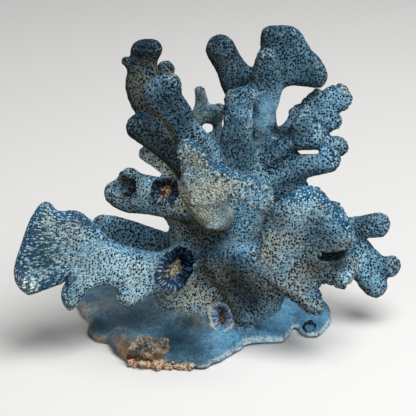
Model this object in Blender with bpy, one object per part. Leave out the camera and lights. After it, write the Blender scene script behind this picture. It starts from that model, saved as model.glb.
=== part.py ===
# Blue ridge coral: one dry colony, split at its main forks, cut off flat where it grew on rock.
# Design values are millimetres: X to the right, Y away from the front, Z up. The origin is on the ground
# under the trunk. The model itself is in metres.
#
# A blade is a flat finger: a path, half its breadth and half its thickness at each point of the path, and the
# way that its flat side faces. A plate is a flat outline, drawn on a plane through its origin that faces one
# way, with half its thickness and a fold: left of "pivot" it curves back by "rate" times the distance
# squared.

import math

import bmesh
import bpy
import numpy as np
from mathutils import Matrix, Vector, bvhtree

MM = 0.001
GAP = 0.3  # left between pieces that meet
VOXEL = 2.0  # remesh size of the branches
CURVE_STEPS = 3  # points that a smooth curve adds between two design points
RING_POINTS = 14  # round a blade
CAP_ANGLES = (25, 50, 70, 84)  # rings of a blade's rounded end, in degrees
BRANCH_TRIANGLES = 258
PLATE_TRIANGLES = 378  # a branch that holds a plate
BASE_TRIANGLES = 500
TRUNK_TRIANGLES = 360

BLUE_GREY = (0.16, 0.24, 0.31)
DEEP_BLUE = (0.08, 0.13, 0.18)
OLIVE_GREY = (0.16, 0.18, 0.16)
SLATE_BLUE = (0.08, 0.15, 0.22)
PALE_RIM = (0.35, 0.42, 0.45)
REEF_ROCK = (0.22, 0.18, 0.13)

BRANCHES = {
    "trunk": {
        "colour": OLIVE_GREY,
        "blades": [
            {
                "path": [(0, 0, 2), (1, 1, 18), (3, 3, 38), (8, 4, 56), (14, 5, 72)],
                "breadth": [32, 24, 23, 22, 15],
                "thickness": [28, 19, 15, 13, 10],
                "face": (0, -1, 0),
            },
        ],
    },
    "left_fan": {
        "colour": BLUE_GREY,
        "blades": [
            {
                "path": [(-4, -6, 36), (-20, -20, 33), (-36, -27, 37)],
                "breadth": [11, 10, 9],
                "thickness": [9, 7, 5],
                "face": (-0.1, -0.85, 0.5),
            },
        ],
        "plates": [
            {
                "origin": (-59, -31, 50),
                "face": (0.3, -0.85, 0.45),
                "half": 4.2,
                "pivot": -60,
                "rate": 0,
                "outline": [
                    (41, -12), (32, -6), (19, 0), (13, 4), (9, 10), (5, 15), (-1, 20), (-10, 21),
                    (-14, 26), (-19, 25), (-25, 18), (-29, 10), (-34, 1), (-36, -7), (-35, -12),
                    (-31, -17), (-27, -17), (-23, -16), (-14, -14), (-11, -13), (-14, -17), (-15, -23),
                    (-12, -28), (-7, -26), (-3, -21), (2, -19), (7, -18), (13, -21), (12, -26), (17, -31),
                    (23, -30), (29, -27), (36, -25), (42, -24),
                ],
            },
        ],
    },
    "right_front_plate": {
        "colour": BLUE_GREY,
        "blades": [
            {
                "path": [(4, -6, 36), (12, -20, 38), (25, -29, 43)],
                "breadth": [11, 10, 9],
                "thickness": [9, 7.5, 6],
                "face": (0.1, -0.9, 0.4),
            },
        ],
        "plates": [
            {
                "origin": (46, -33, 55),
                "face": (-0.15, -0.9, 0.4),
                "half": 5,
                "pivot": -4,
                "rate": 0.012,
                "outline": [
                    (-29, -9), (-23, -5), (-19, 7), (-16, 14), (-13, 19), (-9, 22), (-3, 27), (1, 28),
                    (6, 28), (9, 26), (13, 22), (16, 21), (20, 17), (23, 12), (26, 6), (27, 3), (24, 0),
                    (26, -3), (28, -6), (28, -12), (24, -18), (22, -21), (17, -19), (12, -18), (10, -21),
                    (12, -27), (12, -32), (10, -34), (5, -33), (-4, -27), (-16, -21), (-25, -16),
                ],
            },
            {
                "origin": (18, -32, 36),
                "face": (0, -1, 0.1),
                "half": 8,
                "pivot": 2,
                "rate": 0.02,
                "outline": [
                    (-18, 7), (-10, 13), (1, 12), (12, 5), (21, -5), (21, -10), (18, -17), (11, -22),
                    (2, -25), (-3, -23), (-7, -17), (-11, -9), (-17, -2),
                ],
            },
        ],
    },
    "forked_front_plate": {
        "colour": BLUE_GREY,
        "blades": [
            {
                "path": [(6, -4, 57), (4, -18, 63), (3, -31, 73), (2, -39, 82), (2, -44, 90)],
                "breadth": [8, 9, 9, 10, 9],
                "thickness": [7, 7.5, 8, 7.5, 5],
                "face": (0, -0.7, 0.7),
            },
            {
                "path": [(-4, -45, 90), (-1, -44, 82), (3, -39, 73)],
                "breadth": [9, 8.5, 6.5],
                "thickness": [6, 6.5, 6.2],
                "face": (0, -0.95, 0.2),
            },
        ],
        "plates": [
            {
                "origin": (4, -46, 92),
                "face": (0, -1, 0.1),
                "half": 6.5,
                "pivot": -60,
                "rate": 0,
                "outline": [
                    (-17, 17), (-15, 20), (-11, 21), (-7, 19), (-4, 15), (-1, 10), (3, 8), (8, 6), (15, 4),
                    (21, 2), (26, 0), (27, -4), (27, -9), (25, -11), (22, -12), (17, -9), (12, -7),
                    (8, -5), (4, -7), (-3, -9), (-10, -8), (-12, -3), (-15, 6), (-16, 12),
                ],
            },
        ],
    },
    "barnacle_arm": {
        "colour": OLIVE_GREY,
        "blades": [
            {
                "path": [(0, 0, 60), (-15, -9, 67), (-27, -12, 71), (-36, -14, 73), (-44, -16, 74)],
                "breadth": [11, 9.6, 9.8, 9.6, 5.8],
                "thickness": [8, 7, 6.5, 6, 4.8],
                "face": (-0.1, -0.9, 0.4),
            },
            {
                "path": [(-35, -14, 75), (-36.5, -15, 81)],
                "breadth": [7, 5.4],
                "thickness": [6, 5.4],
                "face": (-0.1, -0.9, 0.4),
            },
        ],
    },
    "left_blade": {
        "colour": DEEP_BLUE,
        "blades": [
            {
                "path": [(-6, 8, 26), (-23, 4, 34), (-34, 1, 41), (-44, -1, 46), (-52, -3, 50)],
                "breadth": [9, 8.5, 7.5, 6.6, 5.4],
                "thickness": [6, 5, 4.8, 4.4, 3.8],
                "face": (0.1, -0.7, 0.7),
            },
        ],
    },
    "right_stem": {
        "colour": OLIVE_GREY,
        "blades": [
            {
                "path": [(10, 4, 60), (20, 5, 74), (27, 8, 86), (28, 11, 96)],
                "breadth": [17, 12, 9, 5],
                "thickness": [9, 8, 7, 5],
                "face": (0, -1, 0),
            },
        ],
    },
    "left_lobe": {
        "colour": OLIVE_GREY,
        "blades": [
            {
                "path": [(2, 6, 70), (-11, 6, 84), (-22, 3, 95), (-32, 0, 102)],
                "breadth": [10, 9, 8.5, 6.6],
                "thickness": [7, 6.5, 6.2, 5.8],
                "face": (-0.3, -0.9, 0.3),
            },
        ],
    },
    "low_left_finger": {
        "colour": OLIVE_GREY,
        "blades": [
            {
                "path": [(-2, 7, 65), (-19, 12, 76), (-30, 15, 82)],
                "breadth": [7, 5, 3.9],
                "thickness": [5.5, 4.6, 3.8],
                "face": (-0.2, -0.9, 0.3),
            },
        ],
    },
    "tall_left_branch": {
        "colour": OLIVE_GREY,
        "blades": [
            {
                "path": [
                    (2, 7, 78), (-8, 8, 91), (-22, 8, 105), (-29, 8, 114), (-31, 9, 122), (-30, 12, 130),
                    (-29, 13, 137),
                ],
                "breadth": [8, 8, 8, 8.6, 8.6, 6.4, 5.6],
                "thickness": [7, 7, 6.5, 6.2, 6, 5.6, 5.6],
                "face": (-0.3, -0.95, 0.1),
            },
            {
                "path": [(-32, 13, 137), (-26, 13, 138)],
                "breadth": [4.6, 4.6],
                "thickness": [5, 5],
                "face": (0, -1, 0),
            },
            {
                "path": [(-33, 10, 129), (-39, 9, 133)],
                "breadth": [4, 2.2],
                "thickness": [4, 2.2],
                "face": (-0.2, -0.9, 0.3),
            },
            {
                "path": [(-17, 11, 108), (-21, 16, 119), (-20, 18, 126)],
                "breadth": [4.5, 4, 4.2],
                "thickness": [4.5, 4, 4.2],
                "face": (-0.2, -0.9, 0.3),
            },
        ],
    },
    "front_club": {
        "colour": DEEP_BLUE,
        "blades": [
            {
                "path": [
                    (8, 5, 74), (1, -2, 88), (-6, -8, 99), (-11, -12, 107), (-14, -15, 115),
                    (-20, -18, 124),
                ],
                "breadth": [8, 7.2, 6.8, 6.6, 7.4, 9],
                "thickness": [7, 6, 6, 6, 6, 6],
                "face": (-0.25, -0.95, 0.15),
            },
            {
                "path": [(-22, -18, 127), (-17, -18, 131)],
                "breadth": [7, 5.8],
                "thickness": [5.6, 5.4],
                "face": (-0.25, -0.95, 0.15),
            },
        ],
    },
    "centre_fan": {
        "colour": BLUE_GREY,
        "blades": [
            {
                "path": [(19, 3, 76), (16, -1, 87), (15, -3, 97), (16, -3, 105)],
                "breadth": [10, 9, 8, 7],
                "thickness": [7, 6.5, 5.4, 4.6],
                "face": (-0.15, -0.97, 0.15),
            },
        ],
        "plates": [
            {
                "origin": (17, -1, 110),
                "face": (-0.15, -0.97, 0.15),
                "half": 4.6,
                "pivot": -60,
                "rate": 0,
                "outline": [
                    (-8, 6), (-7, 10), (-3, 12), (1, 13), (5, 14), (9, 11), (9, 8), (6, 4), (5, -1),
                    (3, -6), (-2, -8), (-6, -6), (-8, -2), (-8, 3),
                ],
            },
        ],
    },
    "top_fan": {
        "colour": BLUE_GREY,
        "blades": [
            {
                "path": [(28, 11, 90), (30, 13, 106), (32, 15, 116)],
                "breadth": [6, 4.6, 5],
                "thickness": [5.5, 4.4, 5],
                "face": (0.1, -0.97, 0.15),
            },
            {
                "path": [(29, 9, 112), (29, 5, 121), (29, 1, 130), (28.5, -2, 139)],
                "breadth": [7.5, 7.8, 6.8, 4.4],
                "thickness": [5, 5, 4.5, 3.4],
                "face": (0.3, -0.95, 0.1),
            },
        ],
        "plates": [
            {
                "origin": (42, 17, 126),
                "face": (0, -0.98, 0.15),
                "half": 5.5,
                "pivot": -60,
                "rate": 0,
                "outline": [
                    (-14, 9), (-15, 16), (-13, 21), (-6, 22), (1, 21), (6, 16), (10, 10), (15, 5),
                    (18, -3), (15, -9), (5, -9), (-2, -9), (-7, -13), (-9, -19), (-14, -19), (-14, -10),
                    (-12, -1),
                ],
            },
            {
                "origin": (30, 12, 112),
                "face": (0, -0.98, 0.15),
                "half": 4.4,
                "pivot": -60,
                "rate": 0,
                "outline": [
                    (-21, 6), (-22, 13), (-17, 17), (-10, 15), (-6, 17), (-3, 24), (2, 25), (6, 19),
                    (6, 11), (6, 5), (4, -2), (3, -7), (4, -13), (-2, -17), (-10, -14), (-16, -4),
                ],
            },
        ],
    },
    "top_club": {
        "colour": OLIVE_GREY,
        "blades": [
            {
                "path": [(29, 11, 95), (25, 14, 106), (19, 15, 117), (12, 17, 127), (7, 20, 135)],
                "breadth": [6, 9, 8.4, 7.2, 7.6],
                "thickness": [5.5, 6, 6, 6, 6.5],
                "face": (0.4, -0.9, 0),
            },
        ],
    },
    "right_arm": {
        "colour": DEEP_BLUE,
        "blades": [
            {
                "path": [(20, 6, 74), (28, 5, 84), (36, 2, 91)],
                "breadth": [9, 7.5, 7],
                "thickness": [7, 6, 5.5],
                "face": (0.15, -0.9, 0.3),
            },
            {
                "path": [(26, 8, 80), (41, 13, 92), (50, 16, 99)],
                "breadth": [7, 6.6, 6],
                "thickness": [6, 5.5, 5.2],
                "face": (0.1, -0.95, 0.25),
            },
            {
                "path": [(45, 13, 90), (56, 16, 89), (63, 19, 84), (67, 21, 83)],
                "breadth": [6, 5, 4.8, 5.2],
                "thickness": [5, 4.8, 4.6, 4.8],
                "face": (0.1, -0.95, 0.25),
            },
        ],
        "plates": [
            {
                "origin": (42, 0, 96),
                "face": (-0.1, -0.9, 0.3),
                "half": 4.8,
                "pivot": -2,
                "rate": 0.03,
                "outline": [
                    (-16, -11), (-10, -5), (-3, 2), (0, 9), (4, 15), (6, 17), (9, 16), (12, 11), (16, 6),
                    (17, 2), (15, -3), (8, -5), (3, -5), (-3, -9), (-11, -15),
                ],
            },
            {
                "origin": (56, 18, 100),
                "face": (0.1, -0.95, 0.25),
                "half": 4.8,
                "pivot": -60,
                "rate": 0,
                "outline": [
                    (-15, 4), (-9, 8), (-3, 13), (0, 15), (3, 13), (5, 15), (9, 16), (13, 17), (16, 14),
                    (17, 9), (15, 4), (11, 2), (12, -3), (9, -6), (4, -7), (-1, -5), (-7, -5), (-13, -5),
                ],
            },
        ],
    },
    "right_finger": {
        "colour": BLUE_GREY,
        "blades": [
            {
                "path": [(18, 4, 66), (33, 2, 76), (48, -2, 83), (60, -5, 87)],
                "breadth": [12, 9, 7, 6.4],
                "thickness": [7, 6, 5.5, 4.8],
                "face": (0, -0.8, 0.6),
            },
            {
                "path": [(24, 3, 66), (37, 0, 69), (46, -2, 71)],
                "breadth": [8, 6, 5],
                "thickness": [5, 4.5, 4],
                "face": (0, -0.8, 0.6),
            },
        ],
    },
    "far_right_branch": {
        "colour": BLUE_GREY,
        "blades": [
            {
                "path": [(16, 6, 38), (40, 5, 36), (62, 1, 36), (74, -3, 38)],
                "breadth": [11, 8, 7.5, 8],
                "thickness": [8, 6.5, 5.5, 5],
                "face": (0.1, -0.9, 0.35),
            },
            {
                "path": [(64, 0, 44), (72, -2, 48), (80, -4, 50), (86, -5, 51.5)],
                "breadth": [6, 5.6, 6, 6.8],
                "thickness": [5, 5, 5.2, 5.4],
                "face": (0.1, -0.9, 0.35),
            },
            {
                "path": [(84, -7, 28), (93, -9, 30)],
                "breadth": [3.6, 5.6],
                "thickness": [3.6, 5.4],
                "face": (0.1, -0.9, 0.35),
            },
        ],
        "plates": [
            {
                "origin": (79, -6, 36),
                "face": (0.1, -0.9, 0.35),
                "half": 5.2,
                "pivot": -60,
                "rate": 0,
                "outline": [
                    (-6, 4), (-2, 7), (3, 6), (7, 2), (10, -3), (10, -10), (12, -15), (11, -19), (8, -22),
                    (4, -22), (0, -19), (-3, -15), (-7, -9), (-8, -2),
                ],
            },
        ],
    },
    "rear_top_fingers": {
        "colour": BLUE_GREY,
        "blades": [
            {
                "path": [(8, 12, 76), (0, 26, 83), (-2, 31, 93), (-2, 33, 101), (-3, 34, 108)],
                "breadth": [5, 3.6, 3.6, 3.8, 3],
                "thickness": [5, 3.6, 3.4, 3.2, 3],
                "face": (-0.1, -0.9, 0.4),
            },
            {
                "path": [(10, 16, 78), (7, 27, 84), (6, 32, 91), (6, 32, 98)],
                "breadth": [4, 3, 2.6, 3.6],
                "thickness": [4, 3.2, 3, 3],
                "face": (-0.1, -0.9, 0.4),
            },
            {
                "path": [(-2, 32, 96), (3, 32, 97), (7, 33, 99)],
                "breadth": [4.6, 4, 3],
                "thickness": [2.8, 2.8, 2.8],
                "face": (-0.1, -0.9, 0.4),
            },
            {
                "path": [(-1, 28, 84), (5, 29, 83)],
                "breadth": [3, 3],
                "thickness": [3, 3],
                "face": (-0.1, -0.9, 0.4),
            },
        ],
    },
    "rear_left_blade": {
        "colour": BLUE_GREY,
        "blades": [
            {
                "path": [(-2, 12, 40), (-12, 30, 46), (-18, 44, 52)],
                "breadth": [12, 12, 9],
                "thickness": [8, 6, 4.8],
                "face": (-0.6, 0.6, 0.6),
            },
        ],
    },
    "rear_right_blade": {
        "colour": BLUE_GREY,
        "blades": [
            {
                "path": [(14, 12, 44), (28, 32, 50), (38, 48, 54)],
                "breadth": [12, 12, 10],
                "thickness": [8, 6, 4.8],
                "face": (0.5, 0.7, 0.5),
            },
            {
                "path": [(26, 30, 50), (48, 36, 62)],
                "breadth": [8, 6.5],
                "thickness": [5.5, 4.6],
                "face": (0.3, 0.8, 0.5),
            },
        ],
    },
    "rear_upper_blade": {
        "colour": BLUE_GREY,
        "blades": [
            {
                "path": [(14, 8, 64), (20, 26, 76), (22, 40, 86)],
                "breadth": [9, 7.5, 7],
                "thickness": [7, 5.5, 4.8],
                "face": (0.2, 0.7, 0.7),
            },
        ],
    },
    "rear_fan": {
        "colour": BLUE_GREY,
        "blades": [
            {
                "path": [(10, 14, 56), (8, 34, 62), (6, 48, 68)],
                "breadth": [11, 10, 12],
                "thickness": [8, 6, 4.6],
                "face": (0, 0.7, 0.7),
            },
        ],
    },
}


CRUST_RIM = [
    (63, 2), (65, -6), (64, -16), (59, -25), (56, -30), (50, -28), (45, -20), (41, -29), (38, -35), (21, -37),
    (16, -44), (4, -56), (-2, -60), (-16, -58), (-25, -60), (-31, -58), (-43, -42), (-48, -34), (-55, -34),
    (-59, -26), (-57, -15), (-66, 3), (-64, 18), (-57, 30), (-50, 46), (-36, 54), (-22, 62), (-4, 59),
    (12, 66), (30, 60), (44, 54), (50, 40), (60, 30), (58, 14),
]
CRUST_TOP = 4.5  # height of the crust near its rim
CRUST_DEPTH = 8  # how far the crust reaches below the flat cut before it is cut off
DOME_RADII = (42, 38, 13)  # swelling of the crust round the trunk

# Each cup stands on a branch: the middle of its mouth, the way that it opens, its radius and its depth.
CUPS = {
    "neck_cup": {"mouth": (-14, -31, 40), "opens": (0.4, -0.86, 0.3), "radius": 8.2, "depth": 12},
    "arm_cup": {"mouth": (-20, -20, 77), "opens": (0.15, -0.85, 0.5), "radius": 5.6, "depth": 7},
    "arm_tip_cup": {"mouth": (-41, -20, 81), "opens": (-0.7, -0.65, 0.4), "radius": 5, "depth": 7},
    "foot_cup": {"mouth": (8, -30, 15), "opens": (0.1, -0.85, 0.5), "radius": 6.5, "depth": 12},
    "crust_edge_cup": {"mouth": (52, -26, 6), "opens": (0, -0.6, 0.8), "radius": 2.6, "depth": 4},
}
CUP_PROFILE = [  # from the foot, up the outside, over the rim and down into the mouth: radius and height
    (1.05, -1), (1.1, -0.5), (1.02, -0.12), (0.92, 0), (0.78, -0.06), (0.45, -0.32), (0.18, -0.38),
]
CUP_SIDES = 16

ROCK_CENTRE = (-28.5, -52.5, 6)
ROCK_RADII = (10.5, 7.5, 6.5)
ROCK_LUMPS = 0.07


def unit(vector):
    return Vector(vector).normalized()


def mesh_of(bm, name):
    mesh = bpy.data.meshes.new(name)
    bm.to_mesh(mesh)
    bm.free()
    return mesh


def between(before, start, end, after, share):
    """Catmull-Rom: the point at this share of the way from start to end."""
    square = share * share
    cube = square * share
    return 0.5 * (
        2 * start
        + (end - before) * share
        + (2 * before - 5 * start + 4 * end - after) * square
        + (3 * start - before - 3 * end + after) * cube
    )


def open_curve(points):
    """The points of a smooth curve through the rows of points, and past no end."""
    rows = np.array(points, float)
    rows = np.vstack([2 * rows[0] - rows[1], rows, 2 * rows[-1] - rows[-2]])
    curve = [
        between(*rows[index : index + 4], step / CURVE_STEPS)
        for index in range(len(rows) - 3)
        for step in range(CURVE_STEPS)
    ]
    return np.array(curve + [rows[-2]])


def closed_curve(points):
    rows = np.array(points, float)
    count = len(rows)
    return [
        between(rows[index - 1], rows[index], rows[(index + 1) % count], rows[(index + 2) % count], step / 2)
        for index in range(count)
        for step in range(2)
    ]


def worked(mesh, *steps):
    """The mesh after these modifiers, each given as its type and its settings."""
    holder = bpy.data.objects.new("worked", mesh)
    bpy.context.scene.collection.objects.link(holder)
    for kind, settings in steps:
        modifier = holder.modifiers.new(kind.title(), kind)
        for setting, value in settings.items():
            setattr(modifier, setting, value)
    graph = bpy.context.evaluated_depsgraph_get()
    result = bpy.data.meshes.new_from_object(holder.evaluated_get(graph))
    bpy.data.objects.remove(holder)
    return result


def bridge_rings(bm, rings):
    """Quads between each ring of points and the next, and a face on each end."""
    loops = [[bm.verts.new(point) for point in ring] for ring in rings]
    for low, high in zip(loops, loops[1:]):
        for index in range(len(low)):
            after = (index + 1) % len(low)
            bm.faces.new((low[index], low[after], high[after], high[index]))
    bm.faces.new(reversed(loops[0]))
    bm.faces.new(loops[-1])


def blade_ring(centre, across, facing, breadth, thickness):
    """A flat section with round edges."""
    ring = []
    for index in range(RING_POINTS):
        angle = math.tau * index / RING_POINTS
        flat = max(breadth - thickness, 0) * min(max(1.5 * math.cos(angle), -1), 1)
        sideways = flat + min(breadth, thickness) * math.cos(angle)
        ring.append((centre + across * sideways + facing * thickness * math.sin(angle)) * MM)
    return ring


def add_blade(bm, path, breadth, thickness, face):
    """A flat finger along a smooth curve, with a rounded end at each side."""
    rows = open_curve([(*point, *sizes) for *point, sizes in zip(*zip(*path), zip(breadth, thickness))])
    points = [Vector(row[:3]) for row in rows]
    rings = []
    last = len(rows) - 1
    for index, row in enumerate(rows):
        along = (points[min(index + 1, last)] - points[max(index - 1, 0)]).normalized()
        facing = (unit(face) - along * along.dot(unit(face))).normalized()
        across = along.cross(facing)
        full, half = row[3], row[4]
        if index in (0, last):
            outwards = along if index else -along
            cap = [
                blade_ring(
                    points[index] + outwards * full * math.sin(math.radians(angle)),
                    across,
                    facing,
                    full * math.cos(math.radians(angle)),
                    half * math.sqrt(math.cos(math.radians(angle))),
                )
                for angle in CAP_ANGLES
            ]
            ring = blade_ring(points[index], across, facing, full, half)
            rings += [ring] + cap if index else cap[::-1] + [ring]
        else:
            rings.append(blade_ring(points[index], across, facing, full, half))
    bridge_rings(bm, rings)


def plate_mesh(origin, face, half, pivot, rate, outline):
    """An outline given its thickness, folded back left of the pivot, and stood on its plane."""
    bm = bmesh.new()
    curve = closed_curve(outline)
    layers = [[Vector((a, b, side * half)) * MM for a, b in curve] for side in (-1, 1)]
    bridge_rings(bm, layers)
    bmesh.ops.recalc_face_normals(bm, faces=bm.faces)
    mesh = worked(mesh_of(bm, "plate"), ("REMESH", {"mode": "VOXEL", "voxel_size": VOXEL * MM}))
    facing = unit(face)
    across = Vector((0, 0, 1)).cross(facing).normalized()
    rise = facing.cross(across)
    for vertex in mesh.vertices:
        a, b, out = vertex.co / MM
        out -= rate * min(a - pivot, 0) ** 2
        vertex.co = (Vector(origin) + across * a + rise * b + facing * out) * MM
    return mesh


def smooth_solid(mesh, triangles):
    """One closed skin round all that the mesh holds, smoothed and thinned to about this many triangles."""
    skin = worked(
        mesh,
        ("REMESH", {"mode": "VOXEL", "voxel_size": VOXEL * MM}),
        ("SMOOTH", {"factor": 0.5, "iterations": 5}),
    )
    share = triangles / (2 * len(skin.polygons))
    return worked(skin, ("DECIMATE", {"ratio": share}), ("TRIANGULATE", {}))


def branch_mesh(name, branch):
    bm = bmesh.new()
    for blade in branch["blades"]:
        add_blade(bm, **blade)
    bmesh.ops.recalc_face_normals(bm, faces=bm.faces)
    for plate in branch.get("plates", []):
        bm.from_mesh(plate_mesh(**plate))
    triangles = PLATE_TRIANGLES if "plates" in branch else BRANCH_TRIANGLES
    return smooth_solid(mesh_of(bm, name), TRUNK_TRIANGLES if name == "trunk" else triangles)


def crust_mesh():
    """The crust's outline with a low dome on it, cut off flat at the ground."""
    bm = bmesh.new()
    layers = [[Vector((x, y, z)) * MM for x, y in closed_curve(CRUST_RIM)] for z in (-CRUST_DEPTH, CRUST_TOP)]
    bridge_rings(bm, layers)
    dome = Matrix.Diagonal((*[radius * MM for radius in DOME_RADII], 1))
    bmesh.ops.create_uvsphere(bm, u_segments=32, v_segments=16, radius=1, matrix=dome)
    bmesh.ops.recalc_face_normals(bm, faces=bm.faces)
    return cut_flat(smooth_solid(mesh_of(bm, "base_crust"), BASE_TRIANGLES), 0)


def cut_flat(mesh, height):
    """The part of the mesh above this height, closed with one flat face."""
    bm = bmesh.new()
    bm.from_mesh(mesh)
    everything = bm.verts[:] + bm.edges[:] + bm.faces[:]
    low = Vector((0, 0, height * MM))
    cut = bmesh.ops.bisect_plane(bm, geom=everything, plane_co=low, plane_no=(0, 0, 1), clear_inner=True)
    edges = [item for item in cut["geom_cut"] if isinstance(item, bmesh.types.BMEdge)]
    bmesh.ops.contextual_create(bm, geom=edges)
    bmesh.ops.triangulate(bm, faces=[face for face in bm.faces if len(face.verts) > 4])
    bmesh.ops.recalc_face_normals(bm, faces=bm.faces)
    return mesh_of(bm, mesh.name)


def cup_mesh(mouth, opens, radius, depth):
    """A turned cup, its foot sunk into what it grows on."""
    bm = bmesh.new()
    turn = Vector((0, 0, 1)).rotation_difference(unit(opens)).to_matrix()
    rings = []
    for across, height in CUP_PROFILE:
        ring = []
        for index in range(CUP_SIDES):
            angle = math.tau * index / CUP_SIDES
            reach = across * radius
            local = Vector((reach * math.cos(angle), reach * math.sin(angle), height * depth))
            ring.append((Vector(mouth) + turn @ local) * MM)
        rings.append(ring)
    bridge_rings(bm, rings)
    bmesh.ops.triangulate(bm, faces=bm.faces)
    bmesh.ops.recalc_face_normals(bm, faces=bm.faces)
    return mesh_of(bm, "cup")


def rock_mesh():
    """A lumpy stone: a sphere pushed in and out by a few crossed waves, cut off just above the ground."""
    bm = bmesh.new()
    bmesh.ops.create_icosphere(bm, subdivisions=3, radius=1)
    for vertex in bm.verts:
        x, y, z = vertex.co
        lump = math.sin(4 * x + 2 * z) + math.sin(5 * y - 2 * x) + math.cos(5 * z + 3 * y)
        vertex.co *= 1 + ROCK_LUMPS * lump
        vertex.co = Vector(ROCK_CENTRE) * MM + Vector(a * b * MM for a, b in zip(vertex.co, ROCK_RADII))
    stone = worked(mesh_of(bm, "rock"), ("DECIMATE", {"ratio": 0.25}), ("TRIANGULATE", {}))
    return cut_flat(stone, GAP)


def grown(name, mesh):
    """A hidden cutter: this piece with the gap added all round."""
    cutter = bpy.data.objects.new(name + "_cutter", mesh.copy())
    bpy.context.scene.collection.objects.link(cutter)
    normals = [vertex.normal.copy() for vertex in cutter.data.vertices]
    for vertex, normal in zip(cutter.data.vertices, normals):
        vertex.co += normal * GAP * MM
    cutter.hide_render = True
    cutter.display_type = "WIRE"
    return cutter


def touches(mesh, other):
    trees = []
    for each in (mesh, other):
        bm = bmesh.new()
        bm.from_mesh(each)
        trees.append(bvhtree.BVHTree.FromBMesh(bm))
        bm.free()
    return bool(trees[0].overlap(trees[1]))


def largest_part(mesh):
    """The mesh without the small scraps that a cut can leave."""
    bm = bmesh.new()
    bm.from_mesh(mesh)
    left = set(bm.verts)
    parts = []
    while left:
        edge_of_search = [left.pop()]
        part = set(edge_of_search)
        while edge_of_search:
            vertex = edge_of_search.pop()
            near = {edge.other_vert(vertex) for edge in vertex.link_edges} & left
            left -= near
            part |= near
            edge_of_search += near
        parts.append(part)
    keep = max(parts, key=len)
    bmesh.ops.delete(bm, geom=[vertex for vertex in bm.verts if vertex not in keep], context="VERTS")
    return mesh_of(bm, mesh.name)


def material(name, colour):
    made = bpy.data.materials.new(name)
    made.use_nodes = True
    shader = made.node_tree.nodes["Principled BSDF"]
    shader.inputs["Base Color"].default_value = (*colour, 1)
    shader.inputs["Roughness"].default_value = 0.8
    shader.inputs["Metallic"].default_value = 0
    return made


def place(name, mesh, colour, cutters):
    """The piece, with the room of each earlier piece that it meets cut out of it."""
    for cutter in cutters:
        if touches(mesh, cutter.data):
            mesh = worked(mesh, ("BOOLEAN", {"operation": "DIFFERENCE", "object": cutter}))
    mesh = largest_part(worked(mesh, ("TRIANGULATE", {})))
    mesh.name = name
    mesh.shade_smooth()
    piece = bpy.data.objects.new(name, mesh)
    piece.data.materials.clear()
    piece.data.materials.append(material(name, colour))
    bpy.context.scene.collection.objects.link(piece)


def main():
    for item in list(bpy.data.objects):
        bpy.data.objects.remove(item)
    crust = crust_mesh()
    pieces = [("base_crust", crust, SLATE_BLUE)]
    pieces += [(name, branch_mesh(name, branch), branch["colour"]) for name, branch in BRANCHES.items()]
    pieces += [(name, cup_mesh(**cup), PALE_RIM) for name, cup in CUPS.items()]
    pieces.append(("rubble_fragment", rock_mesh(), REEF_ROCK))
    cutters = []
    for name, mesh, colour in pieces:
        place(name, mesh, colour, cutters)
        cutters.append(grown(name, mesh))


main()
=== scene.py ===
# Blue ridge coral: the finished look of one dry colony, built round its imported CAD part.
# Settings are in millimetres, in the part's own frame: X right, Y away from the front, Z up from the ground.

import math

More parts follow.
